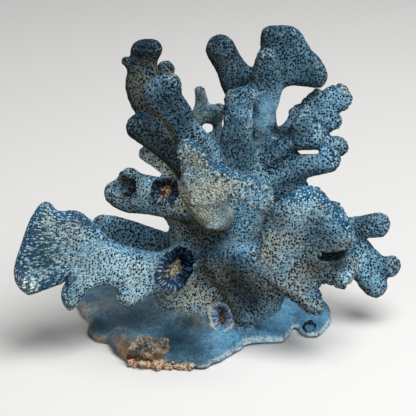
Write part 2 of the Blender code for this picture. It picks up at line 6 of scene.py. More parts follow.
import bpy
import numpy as np
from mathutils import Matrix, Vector


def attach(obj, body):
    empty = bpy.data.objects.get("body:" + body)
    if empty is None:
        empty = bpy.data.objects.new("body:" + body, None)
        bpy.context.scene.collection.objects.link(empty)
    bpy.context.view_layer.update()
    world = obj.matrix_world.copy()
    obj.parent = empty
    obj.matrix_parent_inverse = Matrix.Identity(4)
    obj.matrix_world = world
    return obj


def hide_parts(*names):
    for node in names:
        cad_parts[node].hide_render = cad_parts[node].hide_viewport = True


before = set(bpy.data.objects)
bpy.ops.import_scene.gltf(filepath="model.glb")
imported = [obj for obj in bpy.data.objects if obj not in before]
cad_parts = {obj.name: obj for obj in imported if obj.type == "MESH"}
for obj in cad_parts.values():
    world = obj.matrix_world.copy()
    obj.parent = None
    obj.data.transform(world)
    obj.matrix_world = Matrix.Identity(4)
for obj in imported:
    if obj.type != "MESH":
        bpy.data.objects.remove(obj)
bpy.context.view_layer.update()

# A blade is a flat finger: first the way its flat side faces, then the points of its path, each with half its
# breadth and half its thickness there. A plate is a flat outline on a plane that faces one way, with half its
# thickness; left of "pivot" it folds back by "rate" times the distance squared. "tone" is how light a branch is,
# partly its own colour and partly painted shade, darker on branches that lie back and in shade; "warm" how much
# of its ground is olive and cream instead of blue, "pores" the size of its pores, 1 being the usual one, and
# "nubs" how knobbly its growing edges are.
branches = {
    "trunk": {
        "blades": [
            (
                (0, -1, 0), (0, 0, 2, 32, 28), (1, 1, 18, 24, 19), (3, 3, 38, 23, 15), (8, 4, 56, 22, 13),
                (14, 5, 72, 15, 10),
            ),
        ],
    },
    "left_fan": {
        "finishAndShade": {"tone": 1.2, "warm": 0.35, "pores": 0.95, "nubs": 0.12},
        "blades": [
            ((-0.1, -0.85, 0.5), (-4, -6, 36, 11, 9), (-20, -20, 33, 10, 7), (-36, -27, 37, 9, 5)),
        ],
        "plates": [
            {"origin": (-59, -31, 50), "face": (0.3, -0.85, 0.45), "half": 4.2, "outline": [
                (41, -12), (32, -6), (19, 0), (13, 4), (9, 10), (5, 15), (-1, 20), (-10, 21), (-14, 26), (-19, 25),
                (-25, 18), (-29, 10), (-34, 1), (-36, -7), (-35, -12), (-31, -17), (-27, -17), (-23, -16),
                (-14, -14), (-11, -13), (-14, -17), (-15, -23), (-12, -28), (-7, -26), (-3, -21), (2, -19),
                (7, -18), (13, -21), (12, -26), (17, -31), (23, -30), (29, -27), (36, -25), (42, -24),
            ]},
        ],
    },
    "right_front_plate": {
        "finishAndShade": {"tone": 0.58, "warm": 0.5, "pores": 0.95, "nubs": 0.9},
        "blades": [
            ((0.1, -0.9, 0.4), (4, -6, 36, 11, 9), (12, -20, 38, 10, 7.5), (25, -29, 43, 9, 6)),
        ],
        "plates": [
            {"origin": (46, -33, 55), "face": (-0.15, -0.9, 0.4), "half": 5, "pivot": -4, "rate": 0.012,
             "outline": [
                (-29, -9), (-23, -5), (-19, 7), (-16, 14), (-13, 19), (-9, 22), (-3, 27), (1, 28), (6, 28),
                (9, 26), (13, 22), (16, 21), (20, 17), (23, 12), (26, 6), (27, 3), (24, 0), (26, -3), (28, -6),
                (28, -12), (24, -18), (22, -21), (17, -19), (12, -18), (10, -21), (12, -27), (12, -32), (10, -34),
                (5, -33), (-4, -27), (-16, -21), (-25, -16),
            ]},
            {"origin": (18, -32, 36), "face": (0, -1, 0.1), "half": 8, "pivot": 2, "rate": 0.02, "outline": [
                (-18, 7), (-10, 13), (1, 12), (12, 5), (21, -5), (21, -10), (18, -17), (11, -22), (2, -25),
                (-3, -23), (-7, -17), (-11, -9), (-17, -2),
            ]},
        ],
    },
    "forked_front_plate": {
        "finishAndShade": {"tone": 0.85, "warm": 0.75, "pores": 0.8, "nubs": 0.9},
        "blades": [
            (
                (0, -0.7, 0.7), (6, -4, 57, 8, 7), (4, -18, 63, 9, 7.5), (3, -31, 73, 9, 8), (2, -39, 82, 10, 7.5),
                (2, -44, 90, 9, 5),
            ),
            ((0, -0.95, 0.2), (-4, -45, 90, 9, 6), (-1, -44, 82, 8.5, 6.5), (3, -39, 73, 6.5, 6.2)),
        ],
        "plates": [
            {"origin": (4, -46, 92), "face": (0, -1, 0.1), "half": 6.5, "round": 2, "outline": [
                (-17, 17), (-15, 20), (-11, 21), (-7, 19), (-4, 15), (-1, 10), (3, 8), (8, 6), (15, 4), (21, 2),
                (26, 0), (27, -4), (27, -9), (25, -11), (22, -12), (17, -9), (12, -7), (8, -5), (4, -7), (-3, -9),
                (-10, -8), (-12, -3), (-15, 6), (-16, 12),
            ]},
        ],
    },
    "barnacle_arm": {
        "finishAndShade": {"tone": 0.58, "warm": 0.2, "pores": 1.0, "nubs": 0.15},
        "blades": [
            (
                (-0.1, -0.9, 0.4), (0, 0, 60, 11, 8), (-15, -9, 67, 9.6, 7), (-27, -12, 71, 9.8, 6.5),
                (-36, -14, 73, 9.6, 6), (-44, -16, 74, 5.8, 4.8),
            ),
            ((-0.1, -0.9, 0.4), (-35, -14, 75, 7, 6), (-36.5, -15, 81, 5.4, 5.4)),
        ],
    },
    "left_blade": {
        "finishAndShade": {"tone": 1.7, "warm": 0.1, "pores": 1.15, "nubs": 0.1},
        "blades": [
            (
                (0.1, -0.7, 0.7), (-6, 8, 26, 9, 6), (-23, 4, 34, 8.5, 5), (-34, 1, 41, 7.5, 4.8),
                (-44, -1, 46, 6.6, 4.4), (-52, -3, 50, 5.4, 3.8),
            ),
        ],
    },
    "right_stem": {
        "blades": [((0, -1, 0), (10, 4, 60, 17, 9), (20, 5, 74, 12, 8), (27, 8, 86, 9, 7), (28, 11, 96, 5, 5))],
    },
    "left_lobe": {
        "finishAndShade": {"tone": 0.3, "warm": 0.3, "pores": 1.1, "nubs": 0.15},
        "blades": [
            (
                (-0.3, -0.9, 0.3), (2, 6, 70, 10, 7), (-11, 6, 84, 9, 6.5), (-22, 3, 95, 8.5, 6.2),
                (-32, 0, 102, 6.6, 5.8),
            ),
        ],
    },
    "low_left_finger": {
        "finishAndShade": {"tone": 1.5, "warm": 1.0, "nubs": 0.1},
        "blades": [((-0.2, -0.9, 0.3), (-2, 7, 65, 7, 5.5), (-19, 12, 76, 5, 4.6), (-30, 15, 82, 3.9, 3.8))],
    },
    "tall_left_branch": {
        "finishAndShade": {"tone": 0.26, "warm": 0.8, "pores": 1.1, "nubs": 0.2},
        "blades": [
            (
                (-0.3, -0.95, 0.1), (2, 7, 78, 8, 7), (-8, 8, 91, 8, 7), (-22, 8, 105, 8, 6.5),
                (-29, 8, 114, 8.6, 6.2), (-31, 9, 122, 8.6, 6), (-30, 12, 130, 6.4, 5.6), (-29, 13, 137, 5.6, 5.6),
            ),
            ((0, -1, 0), (-32, 13, 137, 4.6, 5), (-26, 13, 138, 4.6, 5)),
            ((-0.2, -0.9, 0.3), (-33, 10, 129, 4, 4), (-39, 9, 133, 2.2, 2.2)),
            ((-0.2, -0.9, 0.3), (-17, 11, 108, 4.5, 4.5), (-21, 16, 119, 4, 4), (-20, 18, 126, 4.2, 4.2)),
        ],
    },
    "front_club": {
        "finishAndShade": {"tone": 0.78, "warm": 0.1, "pores": 1.12, "nubs": 0.25},
        "blades": [
            (
                (-0.25, -0.95, 0.15), (8, 5, 74, 8, 7), (1, -2, 88, 7.2, 6), (-6, -8, 99, 6.8, 6),
                (-11, -12, 107, 6.6, 6), (-14, -15, 115, 7.4, 6), (-20, -18, 124, 9, 6),
            ),
            ((-0.25, -0.95, 0.15), (-22, -18, 127, 7, 5.6), (-17, -18, 131, 5.8, 5.4)),
        ],
    },
    "centre_fan": {
        "finishAndShade": {"tone": 0.55, "warm": 0, "nubs": 0.8},
        "blades": [
            (
                (-0.15, -0.97, 0.15), (19, 3, 76, 10, 7), (16, -1, 87, 9, 6.5), (15, -3, 97, 8, 5.4),
                (16, -3, 105, 7, 4.6),
            ),
        ],
        "plates": [
            {"origin": (17, -1, 110), "face": (-0.15, -0.97, 0.15), "half": 4.6, "outline": [
                (-8, 6), (-7, 10), (-3, 12), (1, 13), (5, 14), (9, 11), (9, 8), (6, 4), (5, -1), (3, -6), (-2, -8),
                (-6, -6), (-8, -2), (-8, 3),
            ]},
        ],
    },
    "top_fan": {
        "finishAndShade": {"tone": 0.45, "warm": 0, "pores": 1.05, "nubs": 0.2},
        "blades": [
            ((0.1, -0.97, 0.15), (28, 11, 90, 6, 5.5), (30, 13, 106, 4.6, 4.4), (32, 15, 116, 5, 5)),
            (
                (0.3, -0.95, 0.1), (29, 9, 112, 7.5, 5), (29, 5, 121, 7.8, 5), (29, 1, 130, 6.8, 4.5),
                (28.5, -2, 139, 4.4, 3.4),
            ),
        ],
        "plates": [
            {"origin": (42, 17, 126), "face": (0, -0.98, 0.15), "half": 5.5, "outline": [
                (-14, 9), (-15, 16), (-13, 21), (-6, 22), (1, 21), (6, 16), (10, 10), (15, 5), (18, -3), (15, -9),
                (5, -9), (-2, -9), (-7, -13), (-9, -19), (-14, -19), (-14, -10), (-12, -1),
            ]},
            {"origin": (30, 12, 112), "face": (0, -0.98, 0.15), "half": 4.4, "outline": [
                (-21, 6), (-22, 13), (-17, 17), (-10, 15), (-6, 17), (-3, 24), (2, 25), (6, 19), (6, 11), (6, 5),
                (4, -2), (3, -7), (4, -13), (-2, -17), (-10, -14), (-16, -4),
            ]},
        ],
    },
    "top_club": {
        "finishAndShade": {"tone": 0.2, "warm": 0.2, "pores": 1.1, "nubs": 0.2},
        "blades": [
            (
                (0.4, -0.9, 0), (29, 11, 95, 6, 5.5), (25, 14, 106, 9, 6), (19, 15, 117, 8.4, 6),
                (12, 17, 127, 7.2, 6), (7, 20, 135, 7.6, 6.5),
            ),
        ],
    },
    "right_arm": {
        "finishAndShade": {"tone": 0.64, "warm": 0, "pores": 1.1, "nubs": 0.7},
        "blades": [
            ((0.15, -0.9, 0.3), (20, 6, 74, 9, 7), (28, 5, 84, 7.5, 6), (36, 2, 91, 7, 5.5)),
            ((0.1, -0.95, 0.25), (26, 8, 80, 7, 6), (41, 13, 92, 6.6, 5.5), (50, 16, 99, 6, 5.2)),
            (
                (0.1, -0.95, 0.25), (45, 13, 90, 6, 5), (56, 16, 89, 5, 4.8), (63, 19, 84, 4.8, 4.6),
                (67, 21, 83, 5.2, 4.8),
            ),
        ],
        "plates": [
            {"origin": (42, 0, 96), "face": (-0.1, -0.9, 0.3), "half": 4.8, "pivot": -2, "rate": 0.03, "outline": [
                (-16, -11), (-10, -5), (-3, 2), (0, 9), (4, 15), (6, 17), (9, 16), (12, 11), (16, 6), (17, 2),
                (15, -3), (8, -5), (3, -5), (-3, -9), (-11, -15),
            ]},
            {"origin": (56, 18, 100), "face": (0.1, -0.95, 0.25), "half": 4.8, "outline": [
                (-15, 4), (-9, 8), (-3, 13), (0, 15), (3, 13), (5, 15), (9, 16), (13, 17), (16, 14), (17, 9),
                (15, 4), (11, 2), (12, -3), (9, -6), (4, -7), (-1, -5), (-7, -5), (-13, -5),
            ]},
        ],
    },
    "right_finger": {
        "finishAndShade": {"tone": 0.6, "warm": 0, "pores": 1.1, "nubs": 0.3},
        "blades": [
            ((0, -0.8, 0.6), (18, 4, 66, 12, 7), (33, 2, 76, 9, 6), (48, -2, 83, 7, 5.5), (60, -5, 87, 6.4, 4.8)),
            ((0, -0.8, 0.6), (24, 3, 66, 8, 5), (37, 0, 69, 6, 4.5), (46, -2, 71, 5, 4)),
        ],
    },
    "far_right_branch": {
        "finishAndShade": {"tone": 0.85, "warm": 0, "pores": 1.05, "nubs": 0.4},
        "blades": [
            ((0.1, -0.9, 0.35), (16, 6, 38, 11, 8), (40, 5, 36, 8, 6.5), (62, 1, 36, 7.5, 5.5), (74, -3, 38, 8, 5)),
            (
                (0.1, -0.9, 0.35), (64, 0, 44, 6, 5), (72, -2, 48, 5.6, 5), (80, -4, 50, 6, 5.2),
                (86, -5, 51.5, 6.8, 5.4),
            ),
            ((0.1, -0.9, 0.35), (84, -7, 28, 3.6, 3.6), (93, -9, 30, 5.6, 5.4)),
        ],
        "plates": [
            {"origin": (79, -6, 36), "face": (0.1, -0.9, 0.35), "half": 5.2, "outline": [
                (-6, 4), (-2, 7), (3, 6), (7, 2), (10, -3), (10, -10), (12, -15), (11, -19), (8, -22), (4, -22),
                (0, -19), (-3, -15), (-7, -9), (-8, -2),
            ]},
        ],
    },
    "rear_top_fingers": {
        "finishAndShade": {"tone": 0.95, "pores": 0.75, "nubs": 0.1},
        "blades": [
            (
                (-0.1, -0.9, 0.4), (8, 12, 76, 5, 5), (0, 26, 83, 3.6, 3.6), (-2, 31, 93, 3.6, 3.4),
                (-2, 33, 101, 3.8, 3.2), (-3, 34, 108, 3, 3),
            ),
            ((-0.1, -0.9, 0.4), (10, 16, 78, 4, 4), (7, 27, 84, 3, 3.2), (6, 32, 91, 2.6, 3), (6, 32, 98, 3.6, 3)),
            ((-0.1, -0.9, 0.4), (-2, 32, 96, 4.6, 2.8), (3, 32, 97, 4, 2.8), (7, 33, 99, 3, 2.8)),
            ((-0.1, -0.9, 0.4), (-1, 28, 84, 3, 3), (5, 29, 83, 3, 3)),
        ],
    },
    "rear_left_blade": {
        "blades": [((-0.6, 0.6, 0.6), (-2, 12, 40, 12, 8), (-12, 30, 46, 12, 6), (-18, 44, 52, 9, 4.8))],
    },
    "rear_right_blade": {
        "blades": [
            ((0.5, 0.7, 0.5), (14, 12, 44, 12, 8), (28, 32, 50, 12, 6), (38, 48, 54, 10, 4.8)),
            ((0.3, 0.8, 0.5), (26, 30, 50, 8, 5.5), (48, 36, 62, 6.5, 4.6)),
        ],
    },
    "rear_upper_blade": {
        "blades": [((0.2, 0.7, 0.7), (14, 8, 64, 9, 7), (20, 26, 76, 7.5, 5.5), (22, 40, 86, 7, 4.8))],
    },
    "rear_fan": {
        "blades": [((0, 0.7, 0.7), (10, 14, 56, 11, 8), (8, 34, 62, 10, 6), (6, 48, 68, 12, 4.6))],
    },
}


colony = {
    "low": (-96, -80, -1.2), "high": (104, 68, 156),  # the room that the colony is worked out in
    "step": 0.6,  # between the points where the solid is worked out, so about the size of a facet
    "blend": 3.2,  # how widely two branches run together
    "crustBlend": 9,
    "hollowBlend": 1.6,  # how softly the hollows below are cut
    "finishAndShadeReach": 8,  # how far a branch's finish, with its painted shade, carries over to its neighbours
    "usual": {"tone": 1.0, "warm": 0.3, "pores": 1.0, "nubs": 0.4},
}

# Room taken away again, as blades: see-through gaps between fingers, and hollows in the plates.
hollows = [
    ((1, 0, 0), (0, 20, 94, 2.6, 2.4), (0, 62, 75, 2.6, 2.4)),
    ((0, 0.4, 0.9), (51, -12, 95, 4.5, 0.9), (51, 14, 82, 4.5, 0.9)),
    ((0, 0.4, 0.9), (55, -44, 54, 1.3, 1.1), (55, -24, 45, 1.3, 1.1)),
    ((0, 0.5, 0.85), (57, -40, 51, 3, 1.6), (62, -41, 52, 4.5, 1.3), (70, -40, 54.5, 5, 0.8)),
    ((0.2, -0.9, 0.3), (47, -9, 99, 5, 3.6), (53, -8, 104, 5, 3.6)),
    ((0, 0, 1), (-52, -20, 13, 8.5, 8.5), (-51, -30, 12, 8, 8)),
]

# Soft patches on the coral: a place, the reach over which it fades, and what it does there. Tone and pores are
# multiplied; warm (cream and olive), grooves (pores run together into pale cells) and rust are added to. Tone here
# is mostly painted light and shade, darker in recesses, under other branches and on sides that lie in shade, and
# lighter on lit places, besides some of the coral's own lighter and darker colour.
paintedShadeAndTintPatches = [
    # left fan, neck and left blade
    ((-80, -40, 54), 20, {"tone": 0.42, "grooves": 1.0, "pores": 0.55}),
    ((-62, -29, 64), 9, {"tone": 0.75, "grooves": 0.5}),
    ((-85, -50, 40), 6, {"tone": 1.6, "warm": 0.8}),
    ((-58, -36, 47), 9, {"tone": 0.72}),
    ((-66, -46, 33), 6, {"tone": 0.5}),
    ((-36, -28, 46), 9, {"tone": 1.25}),
    ((-16, -18, 52), 8, {"tone": 0.5, "warm": 0.3}),
    ((-5, -11, 50), 8, {"tone": 0.2, "warm": 0.3}),
    ((-13, -12, 66), 12, {"tone": 0.4, "warm": 0.5}),
    ((13, -37, 44), 9, {"tone": 0.36, "warm": 0.1}),
    # right front plate
    ((15, -39, 36), 9, {"tone": 0.3, "warm": 0.2, "pores": 1.1}),
    ((22, -41, 29), 11, {"tone": 0.16, "warm": -0.1, "pores": 1.1}),
    ((19, -30, 51), 6, {"tone": 2.4, "warm": 0.5}),
    ((33, -36, 49), 9, {"tone": 1.25, "warm": 0.1}),
    # near black painted shade in the recess under the upper lobe, right of the small hole
    ((63, -42, 50), 7.5, {"tone": 0.06, "grooves": -1}),
    ((52, -42, 47), 7, {"tone": 0.3, "warm": 0.3}),
    ((68, -46, 44), 4, {"tone": 4, "warm": -0.3}),
    ((54, -37, 62), 9, {"tone": 0.4, "warm": -0.4}),
    ((66, -35, 69), 8, {"tone": 1.8, "warm": -0.8, "grooves": 0.7, "pores": 0.7}),
    ((46, -29, 79), 10, {"tone": 2.4, "warm": -0.5, "grooves": 0.9, "pores": 0.7}),
    ((73, -36, 58), 5, {"tone": 2.5, "warm": -0.2}),
    # forked front plate
    ((-6, -39, 107), 8, {"tone": 0.45, "warm": -0.5, "grooves": 1, "pores": 0.6}),
    ((9, -38, 103), 8, {"tone": 0.7, "warm": -0.8, "grooves": 1, "pores": 0.6}),
    ((22, -39, 98), 8, {"tone": 0.6, "warm": -0.8, "grooves": 1, "pores": 0.6}),
    ((-9, -50, 104), 9, {"tone": 0.75}),
    ((24, -52, 89), 12, {"tone": 1.25, "warm": -0.7}),
    ((5, -40, 69), 11, {"tone": 2.0, "warm": -0.4, "grooves": -1, "pores": 0.75}),
    ((17, -9, 58), 10, {"tone": 1.0, "warm": -0.4}),
    # arm with the cups
    ((-40, -17, 80), 4.5, {"tone": 0.25, "warm": 0.5}),
    ((-16, -12, 76), 8, {"tone": 2.2, "warm": -0.2}),
    ((-18, -17, 66), 7, {"tone": 2.0}),
    ((-26, -17, 79), 5, {"tone": 2.2}),
    # left and middle branches
    ((-19, -27, 131), 13, {"tone": 0.34, "warm": -0.1}),
    ((-9, -18, 117), 8, {"tone": 0.36, "warm": -0.5}),
    ((-14, -20, 126), 6, {"tone": 0.6, "warm": -0.5}),
    ((-28, -2, 108), 7, {"tone": 0.35}),
    ((-40, 7, 131), 6, {"tone": 0.5}),
    ((-30, 9, 139), 10, {"tone": 0.22, "warm": -0.6}),
    ((16, 10, 124), 9, {"tone": 0.5}),
    ((15, -6, 97), 9, {"tone": 0.5}),
    ((8, -6, 86), 7, {"tone": 2.2}),
    ((30, 5, 108), 11, {"tone": 5, "warm": -0.2, "grooves": -1, "pores": 0.3}),
    ((31, 14, 146), 9, {"tone": 0.35}),
    ((51, 11, 122), 7, {"tone": 0.5}),
    # right branches
    ((36, 6, 96), 9, {"tone": 0.1}),
    ((42, 0, 100), 8, {"tone": 0.08}),
    ((59, -4, 98), 6, {"tone": 2}),
    ((60, 14, 92), 7, {"tone": 2, "warm": -0.2}),
    ((30, 3, 90), 6, {"tone": 0.5}),
    ((29, -4, 78), 7, {"tone": 1.8}),
    ((62, -10, 87), 5, {"tone": 2}),
    ((92, -12, 34), 5, {"tone": 0.5}),
    ((35, -31, 67), 5, {"tone": 0.5}),
    ((-19, 7, 76), 7, {"tone": 2, "warm": 0.5}),
    ((64, 15, 107), 11, {"tone": 1.3}),
    ((46, -8, 78), 6, {"tone": 1.5}),
    ((76, -13, 34), 9, {"tone": 1.3}),
    ((79, -6, 56), 7, {"tone": 0.3}),
    # crust
    ((-3, -24, 19), 14, {"tone": 1.5, "warm": 0.7}),
    ((9, -26, 14), 8, {"tone": 1.5, "warm": -0.3}),
    ((10, -34, 8), 7, {"tone": 1.4, "warm": 0.3}),
    ((-58, -10, 4), 13, {"tone": 1.8, "warm": 0.4}),
    ((-33, -16, 6), 11, {"tone": 1.7, "warm": 0.2}),
    ((-56, -26, 4), 9, {"tone": 0.17, "warm": -0.8}),
    ((-43, -33, 5), 3.6, {"rust": 0.8}),
    ((-42, -41, 4), 4, {"rust": 1}),
    ((-38, -47, 3), 5, {"rust": 0.9}),
    ((-38, -46, 5), 6, {"tone": 0.25}),
    ((-39, -50, 5), 4, {"tone": 0.7, "rust": 1}),
    ((-8, -28, 10), 5, {"tone": 0.5, "warm": 0.4}),
    ((-16, -40, 6), 9, {"tone": 0.2, "warm": -0.4}),
    ((36, -24, 5), 24, {"tone": 2.1, "warm": -1}),
    ((-6, -50, 6), 11, {"tone": 0.3, "warm": -0.2}),
    ((8, -42, 5), 7, {"tone": 1.2, "warm": -1}),
]

# A thin crack in the right front plate, x and z in mm, on what stands nearer than "front".
crack = {
    "long": [(28, 49.5), (29, 48), (32, 43), (35, 38), (39, 31)], "short": [(22, 48.6), (25, 49.4), (29, 49)],
    "front": -27, "shake": 0.5, "shakeSize": 2.6,
}


# Stony cups of other animals, sunk in the coral: where the mouth is, where it opens to, its radius, how much
# higher than wide, how brown and how pale it is, how large and how drawn out its middle is, and the side on which
# light is painted, the far side taking painted shade.
cups = {
    "neck_cup": {
        "mouth": (-14.6, -31.2, 40.2), "opens": (0.3, -0.88, 0.37), "radius": 7.8, "tall": 1.3, "ribs": 28,
        "brown": 0, "pale": 0, "boss": 0.95, "long": 1.8, "paintedLitSide": (-0.9, 0, -0.5),
    },
    "arm_cup": {
        "mouth": (-19.5, -19, 76.5), "opens": (0.1, -0.87, 0.47), "radius": 6, "tall": 1.05, "ribs": 22,
        "brown": 0.75, "pale": 0, "boss": 1.1, "long": 1, "paintedLitSide": (-0.5, 0, -1),
    },
    "arm_tip_cup": {
        "mouth": (-40, -17.6, 80), "opens": (-0.85, -0.5, 0.3), "radius": 4.6, "tall": 1.4, "ribs": 20,
        "brown": 1, "pale": 0, "boss": 1.5, "long": 1.5, "paintedLitSide": (-1, 0, 0.4),
    },
    "foot_cup": {
        "mouth": (7.6, -32, 13.8), "opens": (-0.15, -0.85, 0.5), "radius": 6, "tall": 1.3, "ribs": 18,
        "brown": 0.9, "pale": 1, "boss": 0.7, "long": 1.7, "paintedLitSide": (-0.5, 0, -1),
    },
    "crust_edge_cup": {
        "mouth": (52, -26, 5), "opens": (-0.2, -0.7, 0.7), "radius": 3, "tall": 1, "ribs": 13,
        "brown": 0.8, "pale": 0, "boss": 1.3, "long": 1, "paintedLitSide": (0, 0, 1),
    },
}


def unit(vector):
    # the same direction at length 1
    vector = np.array(vector, float)
    return vector / np.linalg.norm(vector)


def craterOf(cup):
    # the room that a cup takes out of the coral, a ball a little lower than its bowl, as a blade
    radius = cup["radius"]
    points = [np.array(cup["mouth"]) + share * radius * unit(cup["opens"]) for share in (0.62, 2)]
    return (0.6, 0.1, 0.8), *((*point, radius * 0.98, radius * 0.98) for point in points)


def easedShare(value, low, high):
    # 0 up to low, 1 from high on, and 3t^2 - 2t^3 between them
    share = np.clip((value - low) / (high - low), 0, 1)
    return share * share * (3 - 2 * share)


def smoothRows(rows, between, closed=False):
    # Catmull-Rom: each stretch between two rows leaves and meets them in the direction of their neighbours
    rows = np.array(rows, float)
    if closed:
        before, start, end, after = np.roll(rows, 1, 0), rows, np.roll(rows, -1, 0), np.roll(rows, -2, 0)
    else:
        padded = np.vstack([2 * rows[0] - rows[1], rows, 2 * rows[-1] - rows[-2]])
        before, start, end, after = padded[:-3], padded[1:-2], padded[2:-1], padded[3:]
    curve = []
    for step in range(between):
        t = step / between
        curve.append(0.5 * (
            2 * start + (end - before) * t + (2 * before - 5 * start + 4 * end - after) * t ** 2
            + (3 * start - before - 3 * end + after) * t ** 3
        ))
    curve = np.stack(curve, 1).reshape(-1, rows.shape[1])
    return curve if closed else np.vstack([curve, rows[-1:]])


def partAlong(direction, x, y, z):
    # how far a place lies along a direction: their dot product
    return x * direction[0] + y * direction[1] + z * direction[2]


def bladeDistance(blade, x, y, z):
    # distance to a flat rounded bar round each short stretch of the path, the least of them; and how near its tip
    rows = smoothRows(blade[1:], 3)
    points = rows[:, :3]
    lengths = np.linalg.norm(np.diff(points, axis=0), axis=1)
    starts = np.concatenate([[0], np.cumsum(lengths)])
    best, place = None, None
    for index, length in enumerate(lengths):
        along = (points[index + 1] - points[index]) / length
        facing = unit(blade[0])
        facing = unit(facing - facing.dot(along) * along)
        across = np.cross(along, facing)
        away = [value - start for value, start in zip((x, y, z), points[index])]
        run, side = partAlong(along, *away), partAlong(across, *away)
        off = np.abs(partAlong(facing, *away))
        share = np.clip(run / length, 0, 1)
        breadth = rows[index, 3] + (rows[index + 1, 3] - rows[index, 3]) * share
        thickness = rows[index, 4] + (rows[index + 1, 4] - rows[index, 4]) * share
        flat = np.hypot(side, run - share * length) - (breadth - thickness)
        away = np.where(flat < 0, off, np.hypot(np.maximum(flat, 0), off)) - thickness
        last = index == len(lengths) - 1
        reach = starts[index] + (np.maximum(run, 0) if last else share * length) + 0 * away
        if best is None:
            best, place = away, reach
        else:
            place = np.where(away < best, reach, place)
            best = np.minimum(best, away)
    return best, easedShare(place, starts[-1] - 7, starts[-1] + 5)


def outlineTable(outline, step, margin):
    # signed distance to a closed smooth outline, below zero inside, at the points of a square table
    curve = smoothRows(outline, 3, closed=True)
    low, high = curve.min(0) - margin, curve.max(0) + margin
    a, b = np.meshgrid(*[np.arange(low[i], high[i] + step, step) for i in (0, 1)], indexing="ij")
    nearest = np.full(a.shape, 1e9)
    inside = np.zeros(a.shape, bool)
    for (a0, b0), (a1, b1) in zip(curve, np.roll(curve, -1, 0)):
        ea, eb = a1 - a0, b1 - b0
        share = np.clip(((a - a0) * ea + (b - b0) * eb) / (ea * ea + eb * eb), 0, 1)
        nearest = np.minimum(nearest, (a - a0 - ea * share) ** 2 + (b - b0 - eb * share) ** 2)
        crossed = (b0 <= b) != (b1 <= b)
        inside ^= crossed & ((b - b0) * ea / (eb if eb else 1) + a0 > a)
    return {"low": low, "step": step, "table": np.sqrt(nearest) * np.where(inside, -1, 1)}


def readTable(table, a, b):
    # value between the four nearest points of the table
    size = table["table"].shape
    a = np.clip((a - table["low"][0]) / table["step"], 0, size[0] - 1.001)
    b = np.clip((b - table["low"][1]) / table["step"], 0, size[1] - 1.001)
    i, j = a.astype(int), b.astype(int)
    a, b = a - i, b - j
    t = table["table"]
    return (t[i, j] * (1 - a) + t[i + 1, j] * a) * (1 - b) + (t[i, j + 1] * (1 - a) + t[i + 1, j + 1] * a) * b


def plateAxes(plate):
    # three directions at right angles: out of the plate, level across it, and up along it
    facing = unit(plate["face"])
    across = unit(np.cross((0, 0, 1), facing))
    return facing, across, np.cross(facing, across)


def plateDistance(plate, x, y, z):
    # distance to a flat sheet with a rounded edge, its plane bent back left of the pivot; and how near the edge
    if "made" not in plate:
        plate["made"] = outlineTable(plate["outline"], 0.5, 16)
    facing, across, rise = plateAxes(plate)
    away = [value - middle for value, middle in zip((x, y, z), plate["origin"])]
    a, b, out = [partAlong(direction, *away) for direction in (across, rise, facing)]
    out = np.abs(out + plate.get("rate", 0) * np.minimum(a - plate.get("pivot", 0), 0) ** 2)
    edge = readTable(plate["made"], a, b)
    bend = plate.get("round", plate["half"])
    flat, out = edge + bend, out - plate["half"] + bend
    away = np.hypot(np.maximum(flat, 0), np.maximum(out, 0)) + np.minimum(np.maximum(flat, out), 0) - bend
    return away, easedShare(edge, -9, 1)


crust = {
    "rim": [
        (63, 2), (65, -6), (64, -16), (59, -25), (56, -30), (50, -28), (45, -20), (41, -29), (38, -35), (21, -37),
        (16, -44), (4, -56), (-2, -60), (-15, -56.5), (-24, -55), (-32, -52), (-43, -42), (-48, -34), (-55, -34),
        (-59, -26), (-57, -15), (-66, 3), (-64, 18), (-57, 30), (-50, 46), (-36, 54), (-22, 62), (-4, 59),
        (12, 66), (30, 60), (44, 54), (50, 40), (60, 30), (58, 14),
    ],
    "thickness": 4.2,  # near the rim
    "dome": 9, "domeWidth": 36,  # swelling round the trunk
    "waves": 1.5, "waveSize": 21,
    "frill": 1.1, "frillSize": 8,  # how far the rim wanders in and out
    "fineFrill": 0.4, "fineFrillSize": 3.4,  # the same again, smaller, as a share of the frill
    "round": 3.2,  # how far in from the rim its top is rounded
    "lip": 1.0,  # how far the rim stands off the ground
    "tone": 1.4, "warm": 0.2, "pores": 0.1, "nubs": 0,
    "folds": [
        ((0, 0, 1), (-46, -27, 4, 2, 2), (-43, -34, 4, 3.4, 2.6), (-39, -43, 3, 5, 2.4), (-36, -50, 2, 4, 1.8)),
        ((0, 0, 1), (-61, 2, 4, 4, 2.6), (-54, -13, 4, 4, 2.4), (-52, -25, 3, 3, 2)),
    ],
}


def latticeNoise(x, y, z, size, seed):
    # random values from -1 to 1 on a lattice of this size, with an eased blend between its points
    table = np.random.default_rng(seed).uniform(-1, 1, (32, 32, 32)).astype(np.float32)
    cells, shares = [], []
    for value in (x, y, z):
        value = np.asarray(value, np.float32) / size + 500
        cell = np.floor(value).astype(np.int32)
        share = value - cell
        cells.append(cell)
        shares.append(share * share * (3 - 2 * share))
    total = 0
    for corner in np.ndindex(2, 2, 2):
        weight = 1
        for share, end in zip(shares, corner):
            weight = weight * (share if end else 1 - share)
        total = total + weight * table[tuple((cell + end) % 32 for cell, end in zip(cells, corner))]
    return total


def nubField(points, size, seed):
    # low round nubs: one random centre in each cell of this size, 1 over a centre and 0 between centres
    offsets = np.random.default_rng(seed).uniform(0.1, 0.9, (24, 24, 24, 3)).astype(np.float32)
    place = (points / size + 240).astype(np.float32)
    cell = np.floor(place).astype(np.int32)
    nearest = np.full(len(points), 9, np.float32)
    for step in np.ndindex(3, 3, 3):
        near = cell + np.array(step) - 1
        centre = near + offsets[tuple((near % 24).T)]
        nearest = np.minimum(nearest, ((centre - place) ** 2).sum(1))
    return np.clip(1 - nearest / 0.36, 0, 1)


